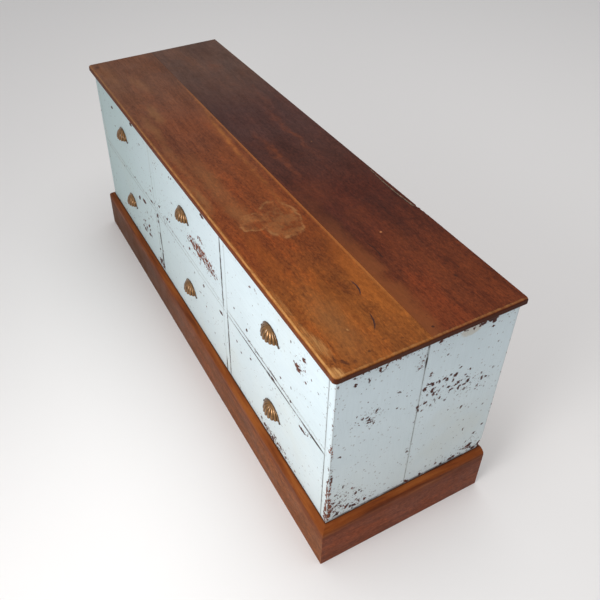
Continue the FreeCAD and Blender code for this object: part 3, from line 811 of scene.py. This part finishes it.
def ridge(shape, direction, edge_at, way, start, stop):
    count = max(2, round((stop - start) / row_apart))
    near_edge, far_edge = edge_at - lap * way, edge_at + ridge_width * way
    rows = []
    for number in range(count + 1):
        crown = front_y + 0.0002 + uneven.uniform(0.0, 0.0006)
        corners = []
        for across, depth in ((near_edge, foot), (near_edge, crown), (far_edge, crown + 0.0001), (far_edge, foot)):
            across, run = metres(across, start + (stop - start) * number / count)
            corners.append(shape.verts.new((across, depth, run) if direction == "up" else (run, depth, across)))
        rows.append(corners)
    capped(shape, rows)


shape = bmesh.new()
for gap, stretches in filled_gaps.items():
    for stretch in stretches:
        ridge(shape, *gap, *stretch)
bmesh.ops.recalc_face_normals(shape, faces=shape.faces)
gap_paint = make_piece("paint_in_gaps", shape, dried)
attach(gap_paint, "carcass")
print("ridges in", len(filled_gaps), "gaps with", len(gap_paint.data.polygons), "faces")

# %% [markdown]
# ## The hardwood top
# The two boards of the top came from different planks: the front one is warm orange-brown, and the back one
# is darker and plum-brown. Both are waxed, so they take a soft sheen, and both pale towards the near end,
# where the light and the hands were. Towards the far end both tones turn greyer, which is partly painted
# reflection of the pale room in the wax.


# %% The hardwood's material
def shaded(mask, tone, factors):
    """Multiplies the tone by three factors where the mask is."""
    return mix(mask, tone, mix(1.0, tone, (*factors, 1.0), "MULTIPLY"))


def blotched(tone, pattern, dark, light, where=None):
    """Darkens the pattern's lows and lightens its highs: dark and light are (level, share, factors)."""
    for middle, (level, share, factors) in ((0.50, dark), (0.52, light)):
        mask = step(pattern, middle, level, 0.0, share)
        tone = shaded(where * mask if where else mask, tone, factors)
    return tone


def hardwood(members, title, stops, order, seed, streak_width, add_marks):
    """stops are the tones along the chest. add_marks is a function that adds this board's own marks."""
    wood, shader, place = new_material(title)
    axes = axes_of(place)
    x = axes[0]
    along = face_place(place, order)
    grain = use_group("wood grain", Place=along, Seed=seed, Streak_Width=streak_width, Stretch=16.0)
    tone = ramp(step(x + (noise(place, 3.0, 3.0) - 0.5) * 0.25, -0.77, 0.77), *stops)
    tone = shaded(step(grain["Streaks"], 0.75, 0.15, 0.0, 0.55), tone, (0.74, 0.70, 0.68))
    tone = shaded(grain["Figure"] * 0.35, tone, (1.45, 1.30, 1.15))
    tone = shaded(step(grain["Fibres"], 0.5, 0.0, 0.0, 0.45), tone, (0.58, 0.52, 0.50))

    # Blotches of old polish, drawn out along the grain, then a finer mottle and a grit
    blotch = noise(along * (0.30, 1.0, 1.0), 13.0, 5.0, 0.62, 0.6)
    tone = blotched(tone, blotch, (0.34, 0.75, (0.74, 0.70, 0.70)), (0.68, 0.75, (1.32, 1.16, 0.98)))
    mottle = noise(along * (0.5, 1.0, 1.0), 105.0, 5.0, 0.75)
    tone = blotched(tone, mottle, (0.36, 0.65, (0.66, 0.58, 0.54)), (0.64, 0.6, (1.32, 1.26, 1.10)),
                    step(x, -0.4, 0.6, 0.45, 1.0))
    grit = noise(along * (0.55, 1.0, 1.0), 190.0, 4.0, 0.78)
    tone = blotched(tone, grit, (0.38, 0.8, (0.64, 0.57, 0.54)), (0.64, 0.75, (1.42, 1.36, 1.25)),
                    step(x, -0.7, 0.3, 0.45, 1.0))
    finish(shader, Base_Color=add_marks(place, axes, tone, grain), Specular_IOR_Level=0.1,
           Roughness=step(noise(place, 9.0, 4.0, 0.6), 0.3, 0.7, 0.42, 0.58))
    bump(shader, grain["Height"] + mottle * 0.8, 0.4, 0.0005)
    for member in members:
        nodes[member].data.materials[0] = wood


print("hardwood's material ready")

# %% [markdown]
# The top's edge is rounded over. Sleeves and cloths have rubbed the upper part of that round down to a thin
# golden line, and the edge below it has stayed dark. The golden line and the band behind it are also painted
# highlight on the round, stronger towards the near end, where the window light is.


# %% The worn edge of the top
def rubbed_and_highlit_edge(place, axes, tone):
    x, y, z = axes
    edge_y, edge_x = top_low.y, top_high.x
    end_reach = abs(x)
    ends = step(end_reach, edge_x - 0.007, edge_x - 0.004)
    outside = strongest(step(y, edge_y + 0.008, edge_y + 0.005), ends)
    tone = mix(step(z, top_z - 0.0018, top_z - 0.006) * outside * 0.7, tone, colour(98, 45, 20))
    tone = mix(ends * step(z, top_z - 0.0015, top_z - 0.004) * 0.7, tone, colour(56, 26, 16))

    # The golden line, broken by noise, and the grained band behind it: rubbed wood and painted highlight, both
    # stronger towards the near end
    ragged = noise(place * (0.4, 1.0, 1.0), 90.0, 5.0, 0.7)
    shift = (ragged - 0.5) * 0.006
    front = step(y + shift, edge_y + 0.0066, edge_y + 0.0050)
    side = step(end_reach + shift, edge_x - 0.0060, edge_x - 0.0045)
    worn_and_highlit = strongest(front, side * 0.45) * step(z, top_z - 0.0026, top_z - 0.0012)
    near = step(x, -0.5, 0.6, 0.34, 1.0)
    grained_band_and_highlight = step(y + shift, edge_y + 0.012, edge_y + 0.006) * near
    grained_band_and_highlight = grained_band_and_highlight * step(z, top_z - 0.003, top_z - 0.001, 0.0, 0.3)
    grained_band_and_highlight = grained_band_and_highlight * step(noise(place, 260.0, 4.0, 0.7), 0.4, 0.6, 0.2, 1.0)
    tone = mix(grained_band_and_highlight, tone, colour(186, 124, 62))
    return mix(worn_and_highlit * step(ragged, 0.34, 0.66, 0.22, 0.62) * near, tone, colour(202, 150, 90))


print("worn edge ready")

# %% [markdown]
# The marks on the two top boards are read as those on the paint are: the place along the chest, the place
# from front to back, and the half sizes. Each board has its own, from paler scuffs to a stain left by a wet
# pot.


# %% Marks on the front board
def wet_stain(place, flat, tone):
    """A slightly pale patch with a paler outline that comes and goes."""
    wet = shaken(shaken(flat, 0.032, 0.008), 0.005, 0.0008)
    body = one_mark(wet, 292, -78, 78, 48, -0.12, 0.06)
    tail = one_mark(wet, 276, -134, 36, 40, 0.3, 0.06)
    reach = maths("MINIMUM", body["Reach"], tail["Reach"])
    inside = step(reach, 1.06, 0.92)
    patchy = step(noise(place, 34.0, 5.0, 0.7), 0.40, 0.58, 0.1, 1.0)
    tone = mix(inside * patchy * 0.19, tone, colour(176, 128, 78))
    return mix(inside * step(reach, 0.80, 1.0) * patchy * 0.25, tone, colour(196, 150, 96))


def front_board_marks(place, axes, tone, grain):
    x, y = axes[:2]
    flat = face_place(place, "xy0")
    loose, ragged, fine = shaken(flat, 0.06, 0.014), shaken(flat, 0.03, 0.005), shaken(flat, 0.006, 0.0028)

    # Paler scuffed places along the front, warm ones near the joint, and darker ones
    scuffs = place_marks(loose, """
        -640 -188 100 20 0 0.35, -330 -150 50 14 0 0.8, -250 -190 70 12 0 0.7, 125 -207 60 9,
        80 -156 110 22 0 0.6, -540 -120 60 14 10 0.4, 220 -150 50 20 0 0.7, 640 -150 90 26 0 0.6,
        -60 -195 120 10 0 0.5""", 0.9)
    tone = mix(scuffs * 0.34, tone, colour(158, 112, 68))
    warm = place_marks(loose, """
        560 -30 160 20 0 0.7, 620 -110 130 20 0 0.35, 60 -60 150 16 0 0.15, -160 -30 120 14 -4 0.3,
        400 -176 90 16 0 0.4, 720 -120 40 80 0 0.15""", 0.9)
    tone = mix(warm * 0.36, tone, colour(188, 104, 34))
    dark = place_marks(loose, """
        -620 -30 120 20 0 0.9, -400 -120 50 24 0 0.6, 556 -86 34 22, -120 -60 50 14 0 0.9,
        60 -62 80 12 0 0.6, 425 -52 40 34 0 0.55, 560 -100 50 20 0 0.5, -655 -120 30 16 0 0.5,
        -100 -98 40 10 0 0.5, 470 -190 50 12 0 0.4""", 0.9)
    tone = shaded(dark * 0.8, tone, (0.62, 0.58, 0.60))

    # The pale line beside the joint, and the bright streak that leaves it
    line = step(y, joint_y - 0.009, joint_y - 0.003) * (step(x, -0.55, -0.3) * step(x, 0.74, 0.55))
    streak = place_marks(ragged, """
        -300 -12 130 4 -4 0.8, -110 -28 150 6 -4, 130 -40 140 6 -3 0.7""", 0.9)
    streak = streak * step(noise(place, 45.0, 4.0), 0.35, 0.6, 0.3, 1.0)
    tone = mix(strongest(line, streak) * 0.34, tone, colour(184, 116, 56))
    tone = wet_stain(place, flat, tone)

    # Specks where the near end was knocked, and single dark and pale marks
    crowd = step(x, 0.45, 0.75, 0.0, 0.32) + step(y, -0.17, -0.215, 0.0, 0.14)
    tone = shaded(flecks(place, crowd, 0.0045) * 0.6, tone, (0.45, 0.38, 0.36))
    spots = place_marks(fine, """
        736 -186 9 3.5 35 0.7, 722 -199 10 2.5 -15 0.6, 734 -130 3 2.5 0 0.7, 735 -55 3 2.5 0 0.6,
        -728 -203 9 6 0 0.6, 700 -170 4 2 0 0.4, 744 -168 5 3 0 0.5, 721 -90 2 3 0 0.5""", 0.5)
    tone = mix(spots, tone, colour(58, 28, 16))
    # Pale marks; the one at the near corner, at 750 across, is a painted highlight on the corner's round
    pale = place_marks(fine, """
        676 -206 34 10 8 0.42, 640 -211 30 5 0 0.3, 668 -136 2.5 2 0 0.7, 750 -211 13 9 30 0.8,
        560 -212 60 4 0 0.2""", 0.6)
    tone = mix(pale * step(grain["Fibres"], 0.3, 0.9, 0.35, 0.9), tone, colour(206, 156, 96))
    return rubbed_and_highlit_edge(place, axes, tone)


# The tones run from the far end to the near end; the greyer far tones are partly painted reflection
hardwood(["top_front_board"], "waxed_front_board",
         [(0.0, 104, 67, 48), (0.35, 109, 61, 38), (0.55, 113, 60, 32), (0.8, 115, 57, 23), (1.0, 124, 71, 28)],
         "xyz", 0.3, 0.016, front_board_marks)
print("front board finished")


# %% Marks on the back board
def back_board_marks(place, axes, tone, grain):
    x, y = axes[:2]
    flat = face_place(place, "xy0")
    loose, fine = shaken(flat, 0.06, 0.014), shaken(flat, 0.006, 0.001)
    shade = step(y, joint_y + 0.055, joint_y + 0.002) * (step(x, -0.6, -0.2) * step(x, 0.1, -0.1))
    tone = mix(shade * 0.35, tone, colour(58, 32, 28))

    # Towards the near end the front board's brown runs a little way over the joint
    wavy = y + step(noise(place, 12.0, 4.0), 0.3, 0.7, -0.012, 0.012)
    over = step(wavy, joint_y + 0.048, joint_y + 0.012) * step(x, 0.12, 0.6)
    tone = mix(over * 0.6, tone, colour(124, 69, 33))
    warm = place_marks(loose, """
        -70 142 100 7 0 0.9, -160 152 60 6 0 0.5, 40 50 120 8 0 0.9, 235 45 50 40 0 0.6, 350 95 60 30 0 0.5,
        560 120 150 20 0 0.8, 660 190 90 16 0 0.7, 690 60 70 30 0 0.6, 480 90 70 10 -6 0.7,
        -560 130 40 20 0 0.5, -300 180 60 8 0 0.4""", 0.9)
    warm = warm * step(noise(place, 40.0, 5.0, 0.7), 0.35, 0.62, 0.25, 1.0)
    tone = mix(warm * 0.36, tone, colour(134, 66, 30))
    dark = place_marks(loose, """
        -40 100 130 20 0 0.5, -250 60 120 24 0 0.6, 430 206 80 16, 650 206 80 14 0 0.5, 180 200 90 16 0 0.5,
        120 25 200 10 0 0.6""", 0.9)
    tone = shaded(dark * 0.7, tone, (0.66, 0.62, 0.64))
    specks = flecks(place, step(x, 0.35, 0.75, 0.0, 0.3), 0.0045)
    tone = shaded(specks * 0.6, tone, (0.45, 0.40, 0.40))
    spots = place_marks(fine, """
        500 50 24 1.5 -5 0.8, 468 48 16 1.2 8 0.7, 640 147 5 2 0 0.7, 620 170 4 2 0 0.6, 738 12 3 3 0 0.8""", 0.3)
    tone = mix(spots, tone, colour(40, 22, 16))
    pale = place_marks(fine, """
        443 97 3 3 0 0.7, 20 165 3 2 0 0.2""", 0.4)
    tone = mix(pale, tone, colour(190, 124, 76))
    return rubbed_and_highlit_edge(place, axes, tone)


# The tones run from the far end to the near end; the greyer far tones are partly painted reflection
hardwood(["top_back_board"], "waxed_back_board",
         [(0.0, 86, 61, 51), (0.35, 72, 44, 40), (0.55, 72, 39, 31), (0.78, 73, 32, 21), (1.0, 94, 44, 21)],
         "xyz", 1.9, 0.018, back_board_marks)
print("back board finished")

# %% [markdown]
# ## The plinth
# The plinth is the same kind of hardwood, stained browner. Its rounded shoulder is rubbed to a pale orange,
# and is also painted lighter there, where the round faces up to the light. A darker stripe below it is painted
# shade where the round curves away, and the plinth is painted darker where it meets the chest, as painted
# shade in the crease.


# %% The plinth's material
def plinth_marks(place, axes, tone, grain):
    x, y, z = axes
    uneven_height = noise(place * (0.35, 0.35, 1.0), 26.0, 4.0, 0.65)
    height = z + step(uneven_height, 0.3, 0.7, -0.009, 0.009)
    # The round at the top: rubbed to a paler orange, and partly painted light where it faces up
    rubbed_and_lit_shoulder = step(height, plinth_z - 0.042, plinth_z - 0.018) * step(uneven_height, 0.32, 0.52, 0.78, 1.0)
    orange = ramp(grain["Streaks"], (0.0, 86, 38, 10), (0.5, 120, 59, 18), (1.0, 138, 76, 28))
    tone = mix(rubbed_and_lit_shoulder, tone, mix(0.85, tone, orange))
    # A darker stripe where the round curves away below: painted shade
    fold = step(z, plinth_z - 0.040, plinth_z - 0.030) * step(z, plinth_z - 0.020, plinth_z - 0.028)
    tone = mix(fold * 0.42, tone, colour(92, 38, 18))
    # Darker right next to the chest's faces: painted shade in the crease
    outward = strongest(abs(x) - end_x, front_y - y)
    return mix(step(outward, 0.0035, 0.001) * 0.8, tone, colour(50, 28, 20))


hardwood(["plinth_front"], "plinth_along_front", [(0.0, 94, 56, 32), (0.5, 114, 69, 44), (1.0, 128, 76, 43)],
         "xyz", 3.1, 0.014, plinth_marks)
hardwood(["plinth_left_return", "plinth_right_return"], "plinth_along_ends",
         [(0.0, 108, 58, 39), (1.0, 124, 67, 44)], "yxz", 4.7, 0.014, plinth_marks)
print("plinth finished")

# %% [markdown]
# ## Bare softwood
# Drawer sides, backs, bottoms, runners and the back boards are pine that was never painted. Age has turned it
# brown and dusty, most of all at the back of the chest. There every board took its own tone, and the joints
# between the boards are dark.


# %% Softwood's material
def tell_boards_apart(place, tone):
    low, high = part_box("back_boards")
    board = (axes_of(place)[0] - low.x) / ((high.x - low.x) / 8)
    lot = add_node("ShaderNodeTexWhiteNoise", {"W": maths("FLOOR", board)}, noise_dimensions="1D")["Value"]
    tone = mix(step(lot, 0.0, 1.0, 0.0, 0.5), tone, colour(92, 66, 46))
    from_middle = abs(maths("FRACT", board) - 0.5)
    tone = mix(step(from_middle, 0.485, 0.497, 0.0, 0.8), tone, colour(48, 36, 28))
    stain = noise(place * (1.0, 1.0, 0.35), 6.0, 5.0, 0.65, 0.5)
    return shaded(step(stain, 0.5, 0.7, 0.0, 0.7), tone, (0.66, 0.62, 0.60))


def softwood(title, order, light_tone, dark_tone, members, seed):
    wood, shader, place = new_material(title)
    grain = use_group("wood grain", Place=face_place(place, order), Seed=seed, Streak_Width=0.010, Stretch=22.0)
    tone = mix(grain["Streaks"], dark_tone, light_tone)
    tone = shaded(grain["Figure"] * 0.35, tone, (0.7, 0.62, 0.55))
    if members == ["back_boards"]:
        tone = tell_boards_apart(place, tone)
    dust = step(noise(place, 7.0, 4.0, 0.6), 0.4, 0.75, 0.0, 0.4)
    finish(shader, Base_Color=mix(dust, tone, colour(120, 106, 90)),
           Roughness=step(grain["Fibres"], 0.0, 1.0, 0.85, 0.68))
    bump(shader, grain["Height"], 0.4, 0.0006)
    for name in members:
        nodes[name].data.materials[0] = wood


softwood("aged_back", "zxy", colour(150, 118, 84), colour(104, 78, 56), ["back_boards"], 0.4)
softwood("pine_along_y", "yxz", colour(196, 160, 112), colour(158, 120, 80),
         [n for n in nodes if n.endswith("_side") or n in ("drawer_runners", "drawer_kickers")], 1.2)
softwood("pine_along_x", "xyz", colour(192, 156, 108), colour(152, 114, 76),
         [n for n in nodes if n.endswith(("_drawer_back", "_drawer_bottom")) or n == "drawer_stops"], 2.2)
print("softwood finished")

# %% [markdown]
# ## Brass and steel
# The cup pulls are cast brass. Fingers keep the ribs bright, and the hollows hold brown tarnish. The screws
# and nails are dark steel.


# %% Metals
def metal(title, bright, dull, roughness):
    cast, shader, place = new_material(title)
    patch = step(noise(place, 110.0, 4.0, 0.6), 0.35, 0.65)
    rib = add_node("ShaderNodeAttribute", {}, cast.node_tree, attribute_name="rib")["Fac"]
    finish(shader, Base_Color=mix(rib * 0.75 + patch * 0.3, dull, bright), Metallic=0.72, Coat_Weight=0.65,
           Coat_Roughness=0.15, Roughness=step(patch, 0.0, 1.0, roughness + 0.12, roughness))
    bump(shader, noise(place, 700.0, 3.0, 0.6), 0.3, 0.0003)
    return cast


brass = metal("aged_brass", colour(148, 105, 57), colour(54, 36, 17), 0.32)
steel = metal("dark_steel", colour(150, 140, 130), colour(66, 58, 52), 0.42)
for name in nodes:
    if name.endswith("_pull_screws") or name == "back_nails":
        nodes[name].data.materials[0] = steel
print("metals:", brass.name, "and", steel.name)

# %% [markdown]
# The pulls are cast as scallop shells. The CAD keeps the plain cup that fingers and collision need. This
# finer shell stands for it in the same box: nine deep ribs that fan down from the crest, a lip that hangs a
# little at each rib, and a thin scalloped rim with a pointed lug for each screw. Every corner also stores how
# high it is on its rib, so that the polish wears the ribs bright and leaves the grooves dark.

# %% A point of the shell
rib_count = 9
half_width, reach_out, height, lip_at = 33.5, 18.5, 28.0, 2.0
rib_height, groove_depth, lip_hang, least_reach = 1.45, 0.9, 1.9, 0.3


def shell_point(share_round, rise, inset):
    """A point in mm at a share round the cup and a rise from lip to crest, and its height on the rib."""
    angle = math.pi * share_round
    rib = abs(math.sin(rib_count * angle)) ** 0.75
    climb = math.radians(88) * rise
    relief = rib_height * rib - groove_depth * (1 - rib) - inset
    lean_out = max(math.sin(angle), 0.0) ** 1.35
    hang = lip_hang * rib * lean_out * (1 - rise) ** 5
    across = -(half_width + relief) * math.cos(climb) * math.cos(angle)
    out = -max((reach_out + relief) * math.cos(climb) * lean_out, least_reach)
    return (across, out, lip_at + (height - inset) * math.sin(climb) - hang), rib


print("on the middle rib's lip:", [round(part, 2) for part in shell_point(0.5, 0.0, 0.0)[0]])

# %% [markdown]
# The cup has an outer and an inner wall, joined along the lip and down the sides. The rim is made of rings,
# from the wall's face outwards, round the edge and back over the front. Each lug repeats one outline three
# times.

# %% The parts of a shell pull
rises = [0.0, 0.05, 0.11, 0.19, 0.28, 0.39, 0.51, 0.63, 0.75, 0.87, 1.0]
# Each ring of the rim: half its width, its height, its depth, its shine, and how deep it is notched
rim_rings = [(31, 26.4, 0.05, 0, 0), (37.9, 32.9, 0.05, 0, 0.03), (37.9, 32.9, 1.1, 0, 0.03),
             (36.9, 31.9, 1.75, 0.2, 0.03), (31, 26.4, 1.75, 0, 0)]
lug_outline = [(31, 6.5), (35, 5.4), (37.6, 3.6), (39.8, 3.1), (41.6, 2.1), (42.4, 0), (41.6, -1.9), (39.8, -3.0),
               (37.6, -3.2), (34.5, -2.2), (31, -1.0)]
lug_middle, face_share = 36, 0.88
across_count = rib_count * 8


def make_cup(shape, corner):
    walls = []
    for inset, shine in ((0.0, 1.0), (1.5, 0.3)):
        rows = []
        for rise in rises:
            points = [shell_point(number / across_count, rise, inset) for number in range(across_count + 1)]
            rows.append([corner(*point, rib * shine) for point, rib in points])
        skin(shape, rows)
        shape.faces.new(rows[-1])
        walls.append(rows)
    outer, inner = walls
    skin(shape, [outer[0], inner[0]])
    for end in (0, -1):
        skin(shape, [[row[end] for row in outer], [row[end] for row in inner]])


def make_rim(shape, corner):
    rings = []
    for wide, tall, depth, shine, notched in rim_rings:
        ring = []
        for number in range(across_count + 1):
            angle = math.pi * number / across_count
            reach = 1 - notched * (1 - abs(math.sin(rib_count * angle)))
            ring.append(corner(-wide * reach * math.cos(angle), -depth, tall * reach * math.sin(angle), shine))
        rings.append(ring)
    skin(shape, rings + rings[:1])
    for end in (0, -1):
        shape.faces.new([ring[end] for ring in rings])


def make_lug(shape, corner, way):
    back = [corner(way * x, -0.05, z, 0) for x, z in lug_outline]
    edge = [corner(way * x, -1.2, z, 0.1) for x, z in lug_outline]
    front = [corner(way * (lug_middle + (x - lug_middle) * face_share), -1.65, z * face_share, 0.2)
             for x, z in lug_outline]
    capped(shape, [back, edge, front])


print("the rim has", len(rim_rings), "rings of", across_count + 1, "corners")

# %% The shell pull of one drawer
lip_above_lug = 0.0033
crease = math.radians(48)


def shell_pull(drawer):
    low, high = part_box(drawer + "_cup_pull")
    origin = ((low.x + high.x) / 2, high.y, low.z + lip_above_lug)
    shape = bmesh.new()
    ribs = []

    def corner(x, y, z, rib):
        ribs.append(rib)
        return shape.verts.new([start + length for start, length in zip(origin, metres(x, y, z))])

    make_cup(shape, corner)
    make_rim(shape, corner)
    for way in (-1, 1):
        make_lug(shape, corner, way)
    bmesh.ops.recalc_face_normals(shape, faces=shape.faces)
    for part in shape.faces:
        part.smooth = True
    for fold in shape.edges:
        fold.smooth = fold.calc_face_angle(0.0) < crease
    pull = make_piece(drawer + "_shell_pull", shape, brass)
    pull.data.attributes.new("rib", "FLOAT", "POINT").data.foreach_set("value", ribs)
    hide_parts(drawer + "_cup_pull")
    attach(pull, drawer + "_drawer")
    return pull


pulls = [shell_pull(name[:-len("_cup_pull")]) for name in list(nodes) if name.endswith("_cup_pull")]
print("pulls:", len(pulls), "with", len(pulls[0].data.polygons), "faces each")

# %% [markdown]
# ## Soft arrises
# No worked board keeps a knife edge. A weld joins the corners that the file format split, and a narrow bevel
# then rounds each sharp edge a little, which is what catches the light along a board.


# %% Round the boards' edges
arris_width, sharp = 0.0005, math.radians(50)


def modify(piece, title, kind, **settings):
    modifier = piece.modifiers.new(title, kind)
    for key, setting in settings.items():
        setattr(modifier, key, setting)


def join_corners(piece):
    modify(piece, "join the corners", "WELD", merge_threshold=0.00001)


for name in nodes:
    if name.endswith("_drawer_front") or "_end_" in name or name in ("dividers", "middle_rails", "top_rails"):
        join_corners(nodes[name])
        modify(nodes[name], "soft arris", "BEVEL", width=arris_width, segments=2, limit_method="ANGLE",
               angle_limit=sharp, harden_normals=True)
print("softened:", sum(1 for piece in nodes.values() if piece.modifiers), "boards")

# %% [markdown]
# ## Deep damage
# Two gouges near the near end of the top, a split along its back edge, a broken corner at the foot of the end
# and some small dents are hollows, not stains. A hidden solid is cut out of each board by a Boolean modifier,
# and the broken wood's material comes with the new faces. The normals are weighted afterwards, so that the
# flat faces stay flat.


# %% Solids to cut with
def broken_wood(title, dark, pale):
    wood, shader, place = new_material(title)
    torn = step(noise(place * (0.2, 1.0, 1.0), 500.0, 4.0, 0.6), 0.35, 0.65)
    finish(shader, Base_Color=mix(torn, dark, pale), Roughness=0.85)
    return wood


def wedge(shape, route):
    """A sliver along a route of (x, y, half width, depth) in mm, with a triangle at each point."""
    rows = []
    for number, (x, y, half, depth) in enumerate(route):
        before, after = route[max(number - 1, 0)], route[min(number + 1, len(route) - 1)]
        run, rise = after[0] - before[0], after[1] - before[1]
        length = math.hypot(run, rise)
        aside_x, aside_y = -rise / length * half, run / length * half
        over, foot = top_z + 0.001, top_z - depth / 1000
        points = ((x + aside_x, y + aside_y, over), (x - aside_x, y - aside_y, over), (x, y, foot))
        rows.append([shape.verts.new((*metres(across, back), up)) for across, back, up in points])
    capped(shape, rows)


def lump(shape, points):
    """The hull of some points in mm."""
    bmesh.ops.convex_hull(shape, input=[shape.verts.new(metres(*point)) for point in points])


def cut_out(board, title, shape, wood):
    bmesh.ops.recalc_face_normals(shape, faces=shape.faces)
    cutter = make_piece(title, shape, wood)
    cutter.hide_render = True
    if not nodes[board].modifiers:
        join_corners(nodes[board])
    modify(nodes[board], title, "BOOLEAN", operation="DIFFERENCE", solver="EXACT", material_mode="TRANSFER",
           object=cutter)


dark_break = broken_wood("old_break", colour(44, 20, 14), colour(84, 40, 26))
raw_break = broken_wood("raw_break", colour(84, 64, 52), colour(150, 128, 108))
red_break = broken_wood("red_break", colour(52, 22, 18), colour(104, 48, 36))
print("broken wood:", dark_break.name, raw_break.name, red_break.name)

# %% Gouges and dents of the front board
shape = bmesh.new()
wedge(shape, [(548, -54, 0.4, 0.3), (556, -52.5, 2.2, 1.2), (570, -51, 3.0, 1.8), (582, -53, 3.0, 1.8),
              (591, -56, 2.4, 1.4), (599, -61, 0.5, 0.4)])
wedge(shape, [(648, -73, 0.4, 0.3), (656, -74.5, 2.0, 1.2), (668, -77, 2.6, 1.6), (680, -82, 2.8, 1.8),
              (688, -87, 2.0, 1.2), (694, -91, 0.4, 0.3)])
dents = ((-640, 2.0), (-402, 1.6), (-120, 1.8), (64, 1.4), (318, 2.2), (452, 1.6), (655, 2.6), (684, 1.8))
for x, size in dents:
    lump(shape, [(x - size * 1.6, -225.5, 636), (x + size * 1.8, -225.5, 636), (x, -225.5, 633 - size),
                 (x - size, -220.6, 636), (x + size, -220.9, 636), (x, -222.6, 634.4 - size * 0.4)])
cut_out("top_front_board", "gouges_and_dents", shape, dark_break)
print("dents along the front edge:", len(dents))

# %% Split and broken edge of the back board, and the end's broken corner
shape = bmesh.new()
wedge(shape, [(184, 227, 0.4, 1.0), (215, 224.5, 1.2, 5.0), (250, 221.5, 1.8, 6.0), (286, 219.5, 2.0, 6.5),
              (330, 219.5, 2.2, 6.5), (366, 220, 2.4, 6.5), (396, 223, 2.6, 6.0)])
cut_out("top_back_board", "split_at_the_back", shape, raw_break)

shape = bmesh.new()
for x, length, depth, foot in ((402, 8, 3.4, 622), (419, 8, 2.4, 619), (436, 8, 1.7, 624), (453, 8, 1.0, 628)):
    lump(shape, [(x - length, 231, 637), (x + length, 231, 637), (x - length * 0.5, 231, foot),
                 (x + length * 0.4, 231, foot + 3), (x - length * 0.6, 230.6 - depth, 637),
                 (x + length * 0.5, 230.9 - depth * 0.8, 637), (x - length * 0.2, 230.8 - depth * 0.7, foot + 6)])
cut_out("top_back_board", "broken_back_edge", shape, dark_break)

shape = bmesh.new()
lump(shape, [(752, 232, 135), (752, 216, 135), (752, 220, 150), (752, 227, 166), (752, 232, 172), (744, 232, 135),
             (745, 231.5, 150), (748, 232, 165), (747, 220, 135)])
cut_out("right_end_back_plank", "broken_corner", shape, red_break)
for board in ("top_front_board", "top_back_board"):
    modify(nodes[board], "flat faces stay flat", "WEIGHTED_NORMAL", keep_sharp=True, weight=80)
